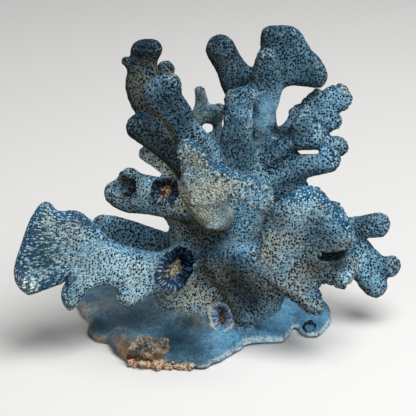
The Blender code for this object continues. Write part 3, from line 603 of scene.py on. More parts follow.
def crustDistance(settings, x, y, z):
    # under a low dome with waves on it, inside an outline that wanders, rounded down to a thin lip at the rim
    if "made" not in settings:
        settings["made"] = outlineTable(settings["rim"], 0.5, 20)
    flat = readTable(settings["made"], x + 0 * y, y + 0 * x)
    frill = latticeNoise(x, y, 0 * x + 0 * y, settings["frillSize"], 11)
    fine = latticeNoise(x, y, 0 * x + 0 * y, settings["fineFrillSize"], 12)
    flat = flat + settings["frill"] * frill + settings["fineFrill"] * settings["frill"] * fine
    waves = latticeNoise(x, y, 0 * x + 0 * y, settings["waveSize"], 13)
    top = settings["thickness"] + settings["waves"] * waves
    top = top + settings["dome"] * np.exp(-(x * x + y * y) / settings["domeWidth"] ** 2)
    rounded = np.sqrt(1 - (1 - np.clip(-flat / settings["round"], 0, 1)) ** 2)
    lip = settings["lip"] * easedShare(flat, -9, -1)
    top = np.maximum(top * rounded, lip + 0.8)
    away = np.maximum(flat, np.maximum((z - top) * 0.85, lip - z))
    return away, 0 * away + easedShare(flat, -1.2, -0.2)


def softLeast(first, second, width):
    # the lesser of the two, rounded where they are nearly equal
    nearness = np.maximum(width - np.abs(first - second), 0) / width
    return np.minimum(first, second) - nearness * nearness * width / 4


def shapesOf():
    # every solid of the colony: the piece it belongs to, its distance function, its settings and its box
    shapes = [("base_crust", crustDistance, crust, np.array((-80, -75, -2)), np.array((80, 80, 18)))]
    for name, branch in {"base_crust": {"blades": crust["folds"]}, **branches}.items():
        for blade in branch["blades"]:
            rows = np.array(blade[1:], float)
            path, reach = rows[:, :3], rows[:, 3:].max()
            shapes.append((name, bladeDistance, blade, path.min(0) - reach, path.max(0) + reach))
        for plate in branch.get("plates", []):
            _, across, rise = plateAxes(plate)
            corners = np.array(plate["origin"]) + np.array(plate["outline"]) @ np.array([across, rise])
            reach = plate["half"] + 8 * ("rate" in plate)
            shapes.append((name, plateDistance, plate, corners.min(0) - reach, corners.max(0) + reach))
    return shapes


def solidField(shapes):
    # distance to the whole colony at every point of a lattice, below zero inside
    low, step = np.array(colony["low"], float), colony["step"]
    size = np.ceil((np.array(colony["high"]) - low) / step).astype(int) + 1
    field = np.full(size, 50, np.float32)

    def stretch(lowCorner, highCorner):
        first = np.clip(((lowCorner - low) / step).astype(int), 0, size)
        last = np.clip(((highCorner - low) / step).astype(int) + 2, 0, size)
        lines = [(low[i] + step * np.arange(first[i], last[i])).astype(np.float32) for i in range(3)]
        return tuple(slice(*ends) for ends in zip(first, last)), np.meshgrid(*lines, indexing="ij", sparse=True)

    for name, distance, settings, lowCorner, highCorner in shapes[1:] + shapes[:1]:
        blend = colony["crustBlend"] if name == "base_crust" else colony["blend"]
        part, (x, y, z) = stretch(lowCorner - blend, highCorner + blend)
        field[part] = softLeast(field[part], distance(settings, x, y, z)[0], blend)
    for hollow in hollows + [craterOf(cup) for cup in cups.values()]:
        rows = np.array(hollow[1:], float)
        path, reach = rows[:, :3], rows[:, 3].max() + 4
        part, (x, y, z) = stretch(path.min(0) - reach, path.max(0) + reach)
        field[part] = -softLeast(-field[part], bladeDistance(hollow, x, y, z)[0], colony["hollowBlend"])
    floor = low[2] + step * np.arange(size[2], dtype=np.float32)
    return np.maximum(field, -floor), low, step


def drawSkin(field, low, step):
    # one point in each cell that the surface crosses, at the mean of its crossings, and a quad round each crossed
    # edge of the lattice, turned to face out
    inside = field < 0
    full = inside.shape
    count = np.zeros([n - 1 for n in full], np.int8)
    for corner in np.ndindex(2, 2, 2):
        count += inside[tuple(slice(c, n - 1 + c) for c, n in zip(corner, full))]
    cells = np.argwhere((count > 0) & (count < 8))
    number = np.full(count.shape, -1, np.int32)
    number[tuple(cells.T)] = np.arange(len(cells))
    total, crossings = np.zeros((len(cells), 3)), np.zeros(len(cells))
    quads = []
    for axis in range(3):
        others = [i for i in range(3) if i != axis]
        forward = np.eye(3, dtype=int)[axis]
        for a, b in np.ndindex(2, 2):
            start = np.zeros(3, int)
            start[others] = a, b
            values = [field[tuple((cells + start + end * forward).T)] for end in (0, 1)]
            crossed = (values[0] < 0) != (values[1] < 0)
            share = values[0][crossed] / (values[0][crossed] - values[1][crossed])
            total[crossed] += start + share[:, None] * forward
            crossings[crossed] += 1
        ends = [tuple(slice(e, full[i] - 1 + e) if i == axis else slice(None) for i in range(3)) for e in (0, 1)]
        edges = np.argwhere(inside[ends[0]] != inside[ends[1]])
        room = (edges[:, others] > 0).all(1) & (edges[:, others] < np.array(full)[others] - 1).all(1)
        edges = edges[room]
        backs = np.eye(3, dtype=int)[others]
        around = [edges - backs[0] - backs[1], edges - backs[1], edges, edges - backs[0]]
        quad = np.stack([number[tuple(cell.T)] for cell in around], 1)
        turned = inside[tuple(edges.T)] == (axis != 1)
        quads.append(np.where(turned[:, None], quad, quad[:, ::-1]))
    return low + step * (cells + total / crossings[:, None]), np.concatenate(quads)


def pointNormals(points, quads):
    # sum of the normals of the quads round each point
    corners = points[quads]
    across = np.cross(corners[:, 2] - corners[:, 0], corners[:, 3] - corners[:, 1])
    total = np.stack([
        np.bincount(quads.ravel(), np.repeat(across[:, i], 4), len(points)) for i in range(3)
    ], 1)
    return total / np.maximum(np.linalg.norm(total, axis=1, keepdims=True), 1e-9)


def boxMean(values, reach):
    # mean over a cube round each point, one axis after another with a running sum
    for axis in range(3):
        padding = [(reach + 1, reach) if i == axis else (0, 0) for i in range(3)]
        sums = np.cumsum(np.pad(values, padding, mode="edge"), axis=axis, dtype=np.float32)
        ahead = np.take(sums, range(2 * reach + 1, sums.shape[axis]), axis)
        behind = np.take(sums, range(sums.shape[axis] - 2 * reach - 1), axis)
        values = (ahead - behind) / (2 * reach + 1)
    return values


def fullness(field, low, step, points, every, reach):
    # share of the room round each point that is coral: a half on a flat, less on an edge, more in a hollow
    mean = boxMean((field[::every, ::every, ::every] < 0).astype(np.float32), reach)
    place = np.clip((points - low) / (step * every), 0, np.array(mean.shape) - 1.001)
    cell = place.astype(int)
    share = place - cell
    total = 0
    for corner in np.ndindex(2, 2, 2):
        weight = np.prod(np.where(corner, share, 1 - share), axis=1)
        total = total + weight * mean[tuple((cell + corner).T)]
    return total


def survey(shapes, names, points):
    # for each point: the piece whose own solid is nearest, and the finish values of the pieces near it, blended,
    # with the painted light and shade of the tone patches laid on
    nearest = np.full(len(points), 1e9)
    piece = np.zeros(len(points), int)
    keys = ("tone", "warm", "pores", "nubs")
    spread = colony["finishAndShadeReach"]
    margin = spread + 1
    sums = {key: np.zeros(len(points)) for key in ("weight", "rim", "border", "crust", *keys)}
    for name, distance, settings, lowCorner, highCorner in shapes:
        near = np.flatnonzero(((points > lowCorner - margin) & (points < highCorner + margin)).all(1))
        away, rim = distance(settings, *points[near].T)
        closer = away < nearest[near]
        nearest[near[closer]] = away[closer]
        piece[near[closer]] = names.index(name)
        weight = np.clip(1 - away / spread, 0, 1) ** 3 + 1e-6
        sums["weight"][near] += weight
        rim = 0 if settings in crust["folds"] else rim
        owner = crust if name == "base_crust" else {**colony["usual"], **branches[name].get("finishAndShade", {})}
        for key in keys:
            sums[key][near] += weight * owner[key]
        sums["crust"][near] += weight * (name == "base_crust")
        sums["border" if name == "base_crust" else "rim"][near] += weight * rim
    finishAndShade = {key: sums[key] / sums["weight"] for key in ("rim", "border", "crust", *keys)}
    finishAndShade["grooves"] = 0.85 * finishAndShade["rim"]
    finishAndShade["rust"] = np.zeros(len(points))
    # the patches lay on painted light and shade through tone, and tints through the other keys
    for place, reach, change in paintedShadeAndTintPatches:
        share = np.exp(-((points - np.array(place)) ** 2).sum(1) / reach ** 2)
        for key in ("tone", "pores"):
            finishAndShade[key] *= 1 + (change.get(key, 1) - 1) * share
        for key in ("warm", "grooves", "rust"):
            finishAndShade[key] = np.clip(finishAndShade[key] + change.get(key, 0) * share, 0, 1)
    return piece, finishAndShade


def crackDistance(points):
    # signed distance in mm across each stroke of the crack, the nearer of the two, and 9 away from them
    x, y, z = points.T
    shake = crack["shake"] * latticeNoise(x, y, z, crack["shakeSize"], 93)
    heights, sides = zip(*sorted((z, x) for x, z in crack["long"]))
    long = 0.8 * (x - np.interp(z, heights, sides)) + shake
    long = np.where((z > heights[0]) & (z < heights[-1]), long, 9)
    sides, heights = zip(*crack["short"])
    short = z - np.interp(x, sides, heights) + shake
    short = np.where((x > sides[0]) & (x < sides[-1]), short, 9)
    return np.where(y < crack["front"], np.where(np.abs(long) < np.abs(short), long, short), 9)


def fanFlow(points):
    # run of the winding lines on the left fan: a shortened distance from its neck, and the distance round the neck
    plate = branches["left_fan"]["plates"][0]
    facing, across, rise = plateAxes(plate)
    away = points - (np.array(plate["origin"]) + 30 * across)
    a, b = away @ across, away @ rise
    return np.stack([0.5 * np.hypot(a, b), 60 * np.arctan2(b, -a), away @ facing], 1) * 0.001


def meshOf(name, points, quads, triangles=(), cornerNormals=None, values=None):
    # a mesh in metres from points in mm, with what each point carries for the materials
    mesh = bpy.data.meshes.new(name)
    faces = quads.tolist() + [list(row) for row in triangles]
    mesh.from_pydata((points * 0.001).tolist(), [], faces)
    for key, value in (values or {}).items():
        isVector = np.ndim(value) == 2
        layer = mesh.attributes.new(key, "FLOAT_VECTOR" if isVector else "FLOAT", "POINT")
        layer.data.foreach_set("vector" if isVector else "value", np.asarray(value, np.float32).ravel())
    mesh.shade_smooth()
    if cornerNormals is not None:
        mesh.normals_split_custom_set(cornerNormals.tolist())
    return mesh


def closeSeams(quads, points):
    # a fan of triangles over each open loop: every open edge, turned round, with the middle of its loop
    count = len(points)
    starts, ends = quads.ravel(), np.roll(quads, -1, 1).ravel()
    forward, backward = starts.astype(np.int64) * count + ends, ends.astype(np.int64) * count + starts
    isOpen = ~np.isin(forward, backward)
    starts, ends = starts[isOpen], ends[isOpen]
    after = np.arange(count)
    after[starts] = ends
    loop, step = np.arange(count), after.copy()
    for _ in range(16):
        loop = np.minimum(loop, loop[step])
        step = step[step]
    _, which = np.unique(loop[starts], return_inverse=True)
    number = np.bincount(which)
    middles = np.stack([np.bincount(which, points[starts, i]) / number for i in range(3)], 1)
    return middles, np.stack([ends, starts, count + which], 1)


def show(obj, node):
    # a finished piece goes with the one body and stands for its CAD node
    bpy.context.scene.collection.objects.link(obj)
    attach(obj, "root")
    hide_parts(node)


def dropIslands(quads, piece, pointCount):
    # quads of one piece that share a corner take one number, the least of theirs; all but the largest set of each
    # piece is given to the piece round it
    _, corner = np.unique(piece[:, None] * pointCount + quads, return_inverse=True)
    corner = corner.reshape(quads.shape)
    group = np.arange(len(quads))
    for _ in range(300):
        least = np.full(corner.max() + 1, len(quads))
        np.minimum.at(least, corner.ravel(), np.repeat(group, 4))
        joined = least[corner].min(1)
        joined = joined[joined]
        if (joined == group).all():
            break
        group = joined
    sizes = np.bincount(group, minlength=len(quads))
    for index in range(piece.max() + 1):
        mine = piece == index
        if mine.any():
            largest = group[mine][np.argmax(sizes[group[mine]])]
            piece = np.where(mine & (group != largest), -1, piece)
    while (piece < 0).any():
        around = np.full(pointCount, -1)
        np.maximum.at(around, quads.ravel(), np.repeat(piece, 4))
        piece = np.where(piece < 0, around[quads].max(1), piece)
    return piece


surface = {
    "lumps": ((15, 0.65), (6.5, 0.3), (2.6, 0.12)),  # size and height of the random swellings
    "rimNubs": ((3.6, 1.0), (2.0, 0.6)),  # size and height of the nubs on growing rims
    "bodyNubs": (2.4, 0.12),
}


def worked(points, normals, finishAndShade):
    # moves each point along its normal: random lumps all over, round nubs where the coral was growing
    x, y, z = points.T
    smooth = 1 - 0.75 * finishAndShade["crust"]
    lumps = [height * latticeNoise(x, y, z, size, 31 + i) for i, (size, height) in enumerate(surface["lumps"])]
    move = smooth * sum(lumps)
    growing = finishAndShade["rim"] * finishAndShade["nubs"]
    for index, (size, height) in enumerate(surface["rimNubs"]):
        move = move + growing * height * (nubField(points, size, 51 + index) - 0.4)
    move = move + (1 - finishAndShade["crust"]) * surface["bodyNubs"][1] * nubField(points, surface["bodyNubs"][0], 61)
    return points + normals * (move * easedShare(z, 0.1, 2))[:, None]


def buildColony(materials):
    # the fused skin of all branches and the crust, shared out among their pieces, each closed where it ends
    shapes = shapesOf()
    names = ["base_crust", *branches]
    field, low, step = solidField(shapes)
    print("solid worked out on a lattice of", field.shape)
    points, quads = drawSkin(field, low, step)
    normals = pointNormals(points, quads)
    print("skin drawn,", len(quads), "quads")
    _, finishAndShade = survey(shapes, names, points)
    piece, _ = survey(shapes, names, points[quads].mean(1))
    piece = dropIslands(quads, piece, len(points))
    values = {key: finishAndShade[key] for key in ("rim", "border", "crust", "tone", "warm", "pores", "grooves", "rust")}
    values["crack"] = crackDistance(points)
    # how filled the room in front of each point is, which darkens hollows as painted shade
    values["hollow"] = fullness(field, low, step, points + 2 * normals, 3, 4)
    # how filled the small room round each point is, which pales convex edges as wear and painted highlight
    values["edge"] = fullness(field, low, step, points, 2, 2)
    points = worked(points, normals, finishAndShade)
    normals = pointNormals(points, quads)
    values["lift"], values["facing"] = normals[:, 2], normals
    for index, name in enumerate(names):
        mine = quads[piece == index]
        used, renumbered = np.unique(mine, return_inverse=True)
        renumbered = renumbered.reshape(mine.shape)
        own = points[used]
        middles, fans = closeSeams(renumbered, own)
        own = np.vstack([own, middles])
        fanNormals = np.cross(own[fans[:, 1]] - own[fans[:, 0]], own[fans[:, 2]] - own[fans[:, 0]])
        cornerNormals = np.vstack([normals[used][renumbered].reshape(-1, 3), np.repeat(fanNormals, 3, 0)])
        cornerNormals /= np.maximum(np.linalg.norm(cornerNormals, axis=1, keepdims=True), 1e-9)
        kept = {key: np.concatenate([value[used], 0 * value[:len(middles)]]) for key, value in values.items()}
        kept["flow"] = fanFlow(own) if name == "left_fan" else own * 0.001
        slot = "crust_smooth" if name == "base_crust" else "branch_pored"
        mesh = meshOf(name + "_coral", own, renumbered, fans, cornerNormals, kept)
        mesh.materials.append(materials[slot])
        show(bpy.data.objects.new(name + "_coral", mesh), name)
        print(name, len(mesh.polygons), "faces")


current = {"tree": None}  # the node tree that the short functions below add to


def addNode(kind, inputs=None, **settings):
    tree = current["tree"]
    node = tree.nodes.new("ShaderNode" + kind)
    for name, value in settings.items():
        setattr(node, name, value)
    for socket, source in (inputs or {}).items():
        if isinstance(source, bpy.types.NodeSocket):
            tree.links.new(source, node.inputs[socket])
        else:
            node.inputs[socket].default_value = source
    return node


def arith(operation, *values):
    return addNode("Math", dict(enumerate(values)), operation=operation).outputs[0]


def times(*values):
    return arith("MULTIPLY", *values)


def vectorMath(operation, *values, scale=1.0):
    node = addNode("VectorMath", {**dict(enumerate(values)), 3: scale}, operation=operation)
    return node.outputs[1 if operation == "DOT_PRODUCT" else 0]


def noise(place, scale, detail):
    return addNode("TexNoise", {"Vector": place, "Scale": scale, "Detail": detail}).outputs["Fac"]


def mix(share, first, second, blend="MIX"):
    colours = [colour if isinstance(colour, bpy.types.NodeSocket) else (*colour, 1) for colour in (first, second)]
    inputs = {0: share, 6: colours[0], 7: colours[1]}
    return addNode("Mix", inputs, data_type="RGBA", blend_type=blend).outputs[2]


def tinted(colour, factor):
    return mix(1.0, colour, factor, "MULTIPLY")


def ramp(value, low, high, start=0.0, end=1.0):
    # start up to low, end from high on, eased between them
    inputs = {"Value": value, "From Min": low, "From Max": high, "To Min": start, "To Max": end}
    return addNode("MapRange", inputs, interpolation_type="SMOOTHSTEP").outputs["Result"]


def readValue(name):
    return addNode("Attribute", attribute_name=name).outputs["Fac"]


def newGroup(name, inputs, outputs):
    # an empty shader node group with named inputs and outputs
    tree = bpy.data.node_groups.new(name, "ShaderNodeTree")
    for label, kind, value in inputs:
        socket = tree.interface.new_socket(label, in_out="INPUT", socket_type="NodeSocket" + kind)
        socket.default_value = value
    for label, kind in outputs:
        tree.interface.new_socket(label, in_out="OUTPUT", socket_type="NodeSocket" + kind)
    current["tree"] = tree
    return tree, tree.nodes.new("NodeGroupInput").outputs, tree.nodes.new("NodeGroupOutput")


def poreGroup():
    # round pores, one in each cell of a flat pattern laid on from the side, front or top that the surface faces
    # most, each of its own size; towards the growing edges small cells, pale in the middle and dark where they meet
    tree, given, out = newGroup(
        "coralPores",
        [("Pore size", "Float", 0.28), ("Pores per metre", "Float", 770), ("Gap share", "Float", 0.68)],
        [(name, "Float") for name in ("Pore", "Halo", "Gap", "Tip", "Height")],
    )
    place = addNode("TexCoord").outputs["Object"]
    grooves, size = readValue("grooves"), readValue("pores")
    bend = addNode("TexNoise", {"Vector": place, "Scale": 420, "Detail": 1})
    bend = vectorMath("SUBTRACT", bend.outputs["Color"], (0.5, 0.5, 0.5))
    shift = vectorMath("SCALE", bend, scale=0.0008)
    place = vectorMath("ADD", place, shift)
    facing = addNode("Attribute", attribute_name="facing").outputs["Vector"]
    facing = vectorMath("ADD", facing, bend)
    facing = vectorMath("ABSOLUTE", facing)
    across, away, up = addNode("SeparateXYZ", {0: facing}).outputs
    x, y, z = addNode("SeparateXYZ", {0: place}).outputs
    isSide = arith("GREATER_THAN", across, arith("MAXIMUM", away, up))
    isTop = arith("GREATER_THAN", up, arith("MAXIMUM", away, across))
    x = addNode("Mix", {0: isSide, 2: x, 3: y}).outputs[0]
    z = addNode("Mix", {0: isTop, 2: z, 3: y}).outputs[0]
    flat = addNode("CombineXYZ", {0: x, 1: z}).outputs[0]
    patch = noise(place, 150, 2)
    reach = times(given["Pore size"], size)
    reach = times(reach, ramp(patch, 0.3, 0.7, 0.8, 1.2))
    cells = {"Vector": flat, "Scale": given["Pores per metre"]}
    cells = addNode("TexVoronoi", cells, voronoi_dimensions="2D")
    pore, chance = cells.outputs["Distance"], addNode("SeparateColor", {0: cells.outputs["Color"]}).outputs[0]
    reach = times(reach, ramp(chance, 0.0, 1.0, 0.55, 1.25))
    inner, outer = arith("SUBTRACT", reach, 0.05), arith("ADD", reach, 0.05)
    halo = ramp(pore, arith("ADD", reach, 0.2), reach)
    halo = times(halo, ramp(size, 0.2, 0.7))
    pore = ramp(pore, inner, outer, 1, 0)
    pit = addNode("TexVoronoi", {"Vector": place, "Scale": 330}).outputs["Distance"]
    pore = arith("MAXIMUM", pore, ramp(pit, 0.15, 0.11, 0, 1))
    flow = addNode("Attribute", attribute_name="flow").outputs["Vector"]
    warp = addNode("TexNoise", {"Vector": flow, "Scale": 500, "Detail": 2})
    warp = vectorMath("SCALE", warp.outputs["Color"], scale=0.0016)
    flow = vectorMath("ADD", flow, warp)
    cell = addNode("TexVoronoi", {"Vector": flow, "Scale": 780}).outputs["Distance"]
    level = arith("SUBTRACT", 1.15, times(given["Gap share"], grooves))
    gap = ramp(arith("SUBTRACT", cell, level), -0.06, 0.07)
    tip = times(grooves, ramp(cell, 0.46, 0.16))
    dark = arith("MAXIMUM", pore, gap)
    grain = noise(place, 1900, 2)
    height = arith("ADD", arith("SUBTRACT", tip, dark), times(grain, 0.5))
    for label, value in {"Pore": pore, "Halo": halo, "Gap": gap, "Tip": tip, "Height": height}.items():
        tree.links.new(value, out.inputs[label])
    return tree


def groundGroup():
    # the coral between its pores: blue, bluer on faces turned up as painted light from above; cream in patches;
    # olive painted shade underneath and on the left; brighter blue on growing rims that face up, partly their own
    # colour and partly painted light; pale along edges, partly wear and partly painted highlight; darker in hollows
    # as painted shade; and slate blue with brown clouds on the crust
    colours = {
        "Blue": (0.235, 0.47, 0.64), "Cream": (0.58, 0.63, 0.54), "Olive shade": (0.16, 0.12, 0.05),
        "Rim blue": (0.20, 0.44, 0.66), "Slate": (0.055, 0.16, 0.26), "Cloud": (0.12, 0.125, 0.11),
        "Rust": (0.36, 0.23, 0.11), "Lip": (0.42, 0.52, 0.56), "Worn edge and highlight": (0.38, 0.49, 0.50),
    }
    tree, given, out = newGroup(
        "coralGround", [(name, "Color", (*colour, 1)) for name, colour in colours.items()], [("Colour", "Color")]
    )
    place = addNode("TexCoord").outputs["Object"]
    warm, rim, lift, hollow = [readValue(name) for name in ("warm", "rim", "lift", "hollow")]
    tone, crustShare = readValue("tone"), readValue("crust")
    broad = noise(place, 75, 3)
    small = noise(place, 380, 3)
    grain = noise(place, 1300, 2)
    creamShare = times(warm, ramp(broad, 0.3, 0.65, 0.5, 1.5))
    # fewer cream patches on faces turned up: painted bluish light from above
    creamShare = times(creamShare, ramp(lift, 0.2, 0.8, 1.2, 0.15))
    creamShare = arith("ADD", creamShare, ramp(small, 0.52, 0.72, 0, 0.3))
    ground = mix(creamShare, given["Blue"], given["Cream"])
    # olive painted shade on faces turned away from the key lamp, less where the tone is raised
    facing = addNode("Attribute", attribute_name="facing").outputs["Vector"]
    turnedAway = vectorMath("DOT_PRODUCT", facing, (0.6, -0.2, 0.8))
    paintedUnderShade = ramp(turnedAway, 0.0, -0.6, 0, 0.9)
    paintedUnderShade = times(paintedUnderShade, ramp(tone, 1.2, 2.2, 1, 0.1))
    ground = mix(paintedUnderShade, ground, given["Olive shade"])
    # brighter blue on growing rims, most where they face up: partly the rims' own colour, partly painted light from
    # above
    bright = times(ramp(rim, 0.1, 0.8), ramp(lift, 0.2, 0.75, 0.1, 0.75))
    ground = mix(bright, ground, given["Rim blue"])
    clouds = times(ramp(broad, 0.3, 0.6, 0.4, 1.7), warm)
    slate = mix(clouds, given["Slate"], given["Cloud"])
    rusty = times(readValue("rust"), ramp(broad, 0.3, 0.6, 0.7, 1.1))
    slate = mix(rusty, slate, given["Rust"])
    side = addNode("SeparateXYZ", {0: place}).outputs["X"]
    lip = mix(ramp(side, -0.035, -0.02), given["Rust"], given["Lip"])
    border = times(readValue("border"), ramp(small, 0.35, 0.55, 0.25, 0.85))
    slate = mix(border, slate, lip)
    slate = mix(ramp(broad, 0.5, 0.75, 0, 0.25), slate, given["Blue"])
    dim = tinted(slate, (0.4, 0.45, 0.5))
    slate = mix(ramp(broad, 0.52, 0.36, 0, 0.8), slate, dim)
    ground = mix(crustShare, ground, slate)
    shade = times(ramp(grain, 0.3, 0.7, 0.62, 1.35), ramp(small, 0.3, 0.7, 0.8, 1.15))
    # darker in hollows as painted shade, and times the tone, which holds painted light and shade besides own
    # lightness
    shade = times(shade, ramp(hollow, 0.4, 0.72, 1.05, 0.35))
    shade = times(shade, tone)
    level = addNode("CombineColor", {0: shade, 1: shade, 2: shade}).outputs[0]
    ground = tinted(ground, level)
    # pale on convex edges: partly wear, partly painted highlight, less on faces turned down and on dark branches
    wornEdgeAndHighlight = ramp(readValue("edge"), 0.44, 0.35, 0, 0.85)
    for share in (
        ramp(small, 0.35, 0.6, 0.5, 1), ramp(lift, -0.7, 0.1, 0.2, 1),
        arith("SUBTRACT", 1, crustShare), ramp(tone, 0.05, 0.7, 0.1, 1),
    ):
        wornEdgeAndHighlight = times(wornEdgeAndHighlight, share)
    ground = mix(wornEdgeAndHighlight, ground, given["Worn edge and highlight"])
    tree.links.new(ground, out.inputs["Colour"])
    return tree


def newMaterial(name, roughness, specular=0.3):
    material = bpy.data.materials.new(name)
    material.use_nodes = True
    shader = material.node_tree.nodes["Principled BSDF"]
    shader.inputs["Roughness"].default_value = roughness
    shader.inputs["Specular IOR Level"].default_value = specular
    current["tree"] = material.node_tree
    return material


def finished(material, colour, height, depth, strength):
    # colour and bump brought to the shader
    tree = material.node_tree
    shader = tree.nodes["Principled BSDF"]
    bump = addNode("Bump", {"Height": height, "Distance": depth, "Strength": strength})
    tree.links.new(colour, shader.inputs["Base Color"])
    tree.links.new(bump.outputs[0], shader.inputs["Normal"])
    return material


def useGroup(group):
    return addNode("Group", node_tree=group).outputs


def coralMaterial(name, pores, ground, roughness, specular):
    # the ground, bluer and darker round its pores and nearly black in them, painted shade in the pits; brighter on
    # the raised tips between them and darker in the gaps, a real pattern partly drawn as painted highlight and
    # shade; and the thin crack
    material = newMaterial(name, roughness, specular)
    pore = useGroup(pores)
    colour = useGroup(ground)["Colour"]
    # round the pores and in the gaps: painted shade; on the tips: painted highlight
    deep = tinted(colour, (0.16, 0.26, 0.36))
    near = tinted(colour, (0.32, 0.52, 0.7))
    colour = mix(times(pore["Halo"], 0.75), colour, near)
    bright = tinted(colour, (2.2, 2.0, 1.8))
    colour = mix(times(pore["Tip"], 0.75), colour, bright)
    colour = mix(pore["Gap"], colour, deep)
    # nearly black in the pores: painted shade in the pits
    colour = mix(times(pore["Pore"], 0.96), colour, (0.003, 0.008, 0.016))
    split = arith("ABSOLUTE", readValue("crack"))
    place = addNode("TexCoord").outputs["Object"]
    broken = ramp(noise(place, 330, 1), 0.46, 0.52)
    colour = mix(ramp(split, 1.1, 0.5, 0, 0.3), colour, (0.36, 0.37, 0.32))
    colour = mix(times(broken, ramp(split, 0.42, 0.2)), colour, (0.001, 0.002, 0.003))
    return finished(material, colour, pore["Height"], 0.0004, 0.9)


cupShape = {
    # radius and height along the profile: from the middle of the foot, up the sloping outside, over the rim, down
    # the bowl and up the boss in its middle
    "profile": [(0.02, -0.95), (0.8, -0.95), (1.12, -0.5), (1.1, -0.2), (1.02, 0.0), (0.9, 0.02), (0.74, -0.18),
                (0.54, -0.42), (0.36, -0.5), (0.2, -0.42), (0.02, -0.36)],
    "ribHeight": 0.085, "around": 240,
}


def turned(rings):
    # rings of points, the first and last closed with a fan; the rings run from the foot to the end of the profile
    count, around, _ = rings.shape
    points = np.vstack([rings.reshape(-1, 3), rings[0].mean(0), rings[-1].mean(0)])
    index = np.arange(count * around).reshape(count, around)
    after = np.roll(index, -1, 1)
    quads = np.stack([index[:-1], after[:-1], after[1:], index[1:]], -1).reshape(-1, 4)
    foot = np.stack([after[0], index[0], np.full(around, count * around)], 1)
    top = np.stack([index[-1], after[-1], np.full(around, count * around + 1)], 1)
    return points, quads, np.vstack([foot, top])


def axesOf(direction):
    # three directions at right angles, the last of them the given one
    upwards = unit(direction)
    across = unit(np.cross((0.03, 1, 0.02), upwards))
    return np.stack([across, np.cross(upwards, across), upwards])


def buildCup(name, cup, material, seed):
    # the profile carried round an axis; ribs of uneven width raise it, most near the rim, and the rim wanders
    profile = smoothRows(cupShape["profile"], 8)
    angle = np.linspace(0, math.tau, cupShape["around"], endpoint=False)
    share = np.linspace(0, 1, len(profile))[:, None]
    rows = profile[:, :1] + 0 * angle
    uneven = latticeNoise(3 * np.cos(angle), 3 * np.sin(angle), 1.5 * rows, 0.8, seed)
    rib = 1 - np.abs(np.sin(angle * cup["ribs"] / 2 + 2.2 * uneven)) ** (0.8 + 1.2 * cup["pale"])
    rib = rib * (0.5 + 0.5 * latticeNoise(5 * np.cos(angle), 5 * np.sin(angle), 5 * rows, 0.7, seed + 1))
    strength = easedShare(share, 0.12, 0.3) * easedShare(share, 0.86, 0.68)
    wander = latticeNoise(3 * np.cos(angle), 3 * np.sin(angle), 0 * angle, 1.6, seed)
    wander = wander + 0.5 * latticeNoise(8 * np.cos(angle), 8 * np.sin(angle), 0 * angle, 1.3, seed + 3)
    crumbs = latticeNoise(6 * rows * np.cos(angle), 6 * rows * np.sin(angle), 0 * rows, 0.5, seed + 2)
    radius = profile[:, :1] * (1 + (cup["boss"] - 1) * easedShare(share, 0.55, 0.78))
    radius = radius * (1 + 0.8 * cupShape["ribHeight"] * rib * strength + 0.13 * wander)
    height = profile[:, 1:] + strength * (cupShape["ribHeight"] * 2 * rib + 0.09 * wander)
    height = height + 0.1 * crumbs * easedShare(share, 0.7, 0.85)
    tall = cup["tall"] * (1 + (cup["long"] - 1) * easedShare(share, 0.55, 0.78))
    local = np.stack([radius * np.cos(angle), tall * radius * np.sin(angle), height + 0 * radius], -1)
    offsets = cup["radius"] * local @ axesOf(cup["opens"])
    points, quads, fans = turned(np.array(cup["mouth"]) + offsets)
    # how far each point lies towards the side on which light is painted
    paintedLitSide = np.clip(0.5 + 0.5 * offsets @ unit(cup["paintedLitSide"]) / cup["radius"], 0, 1)
    ends = [0, 0]
    values = {
        "rib": np.concatenate([(rib * strength + 0 * radius).ravel(), ends]),
        "reach": np.concatenate([(share + 0.03 * crumbs).ravel(), [0, 1]]),
        "paintedLitSide": np.concatenate([paintedLitSide.ravel(), ends]),
        "brown": np.full(len(points), cup["brown"]), "pale": np.full(len(points), cup["pale"]),
    }
    mesh = meshOf(name + "_shell", points, quads, fans, None, values)
    mesh.materials.append(material)
    show(bpy.data.objects.new(name + "_shell", mesh), name)


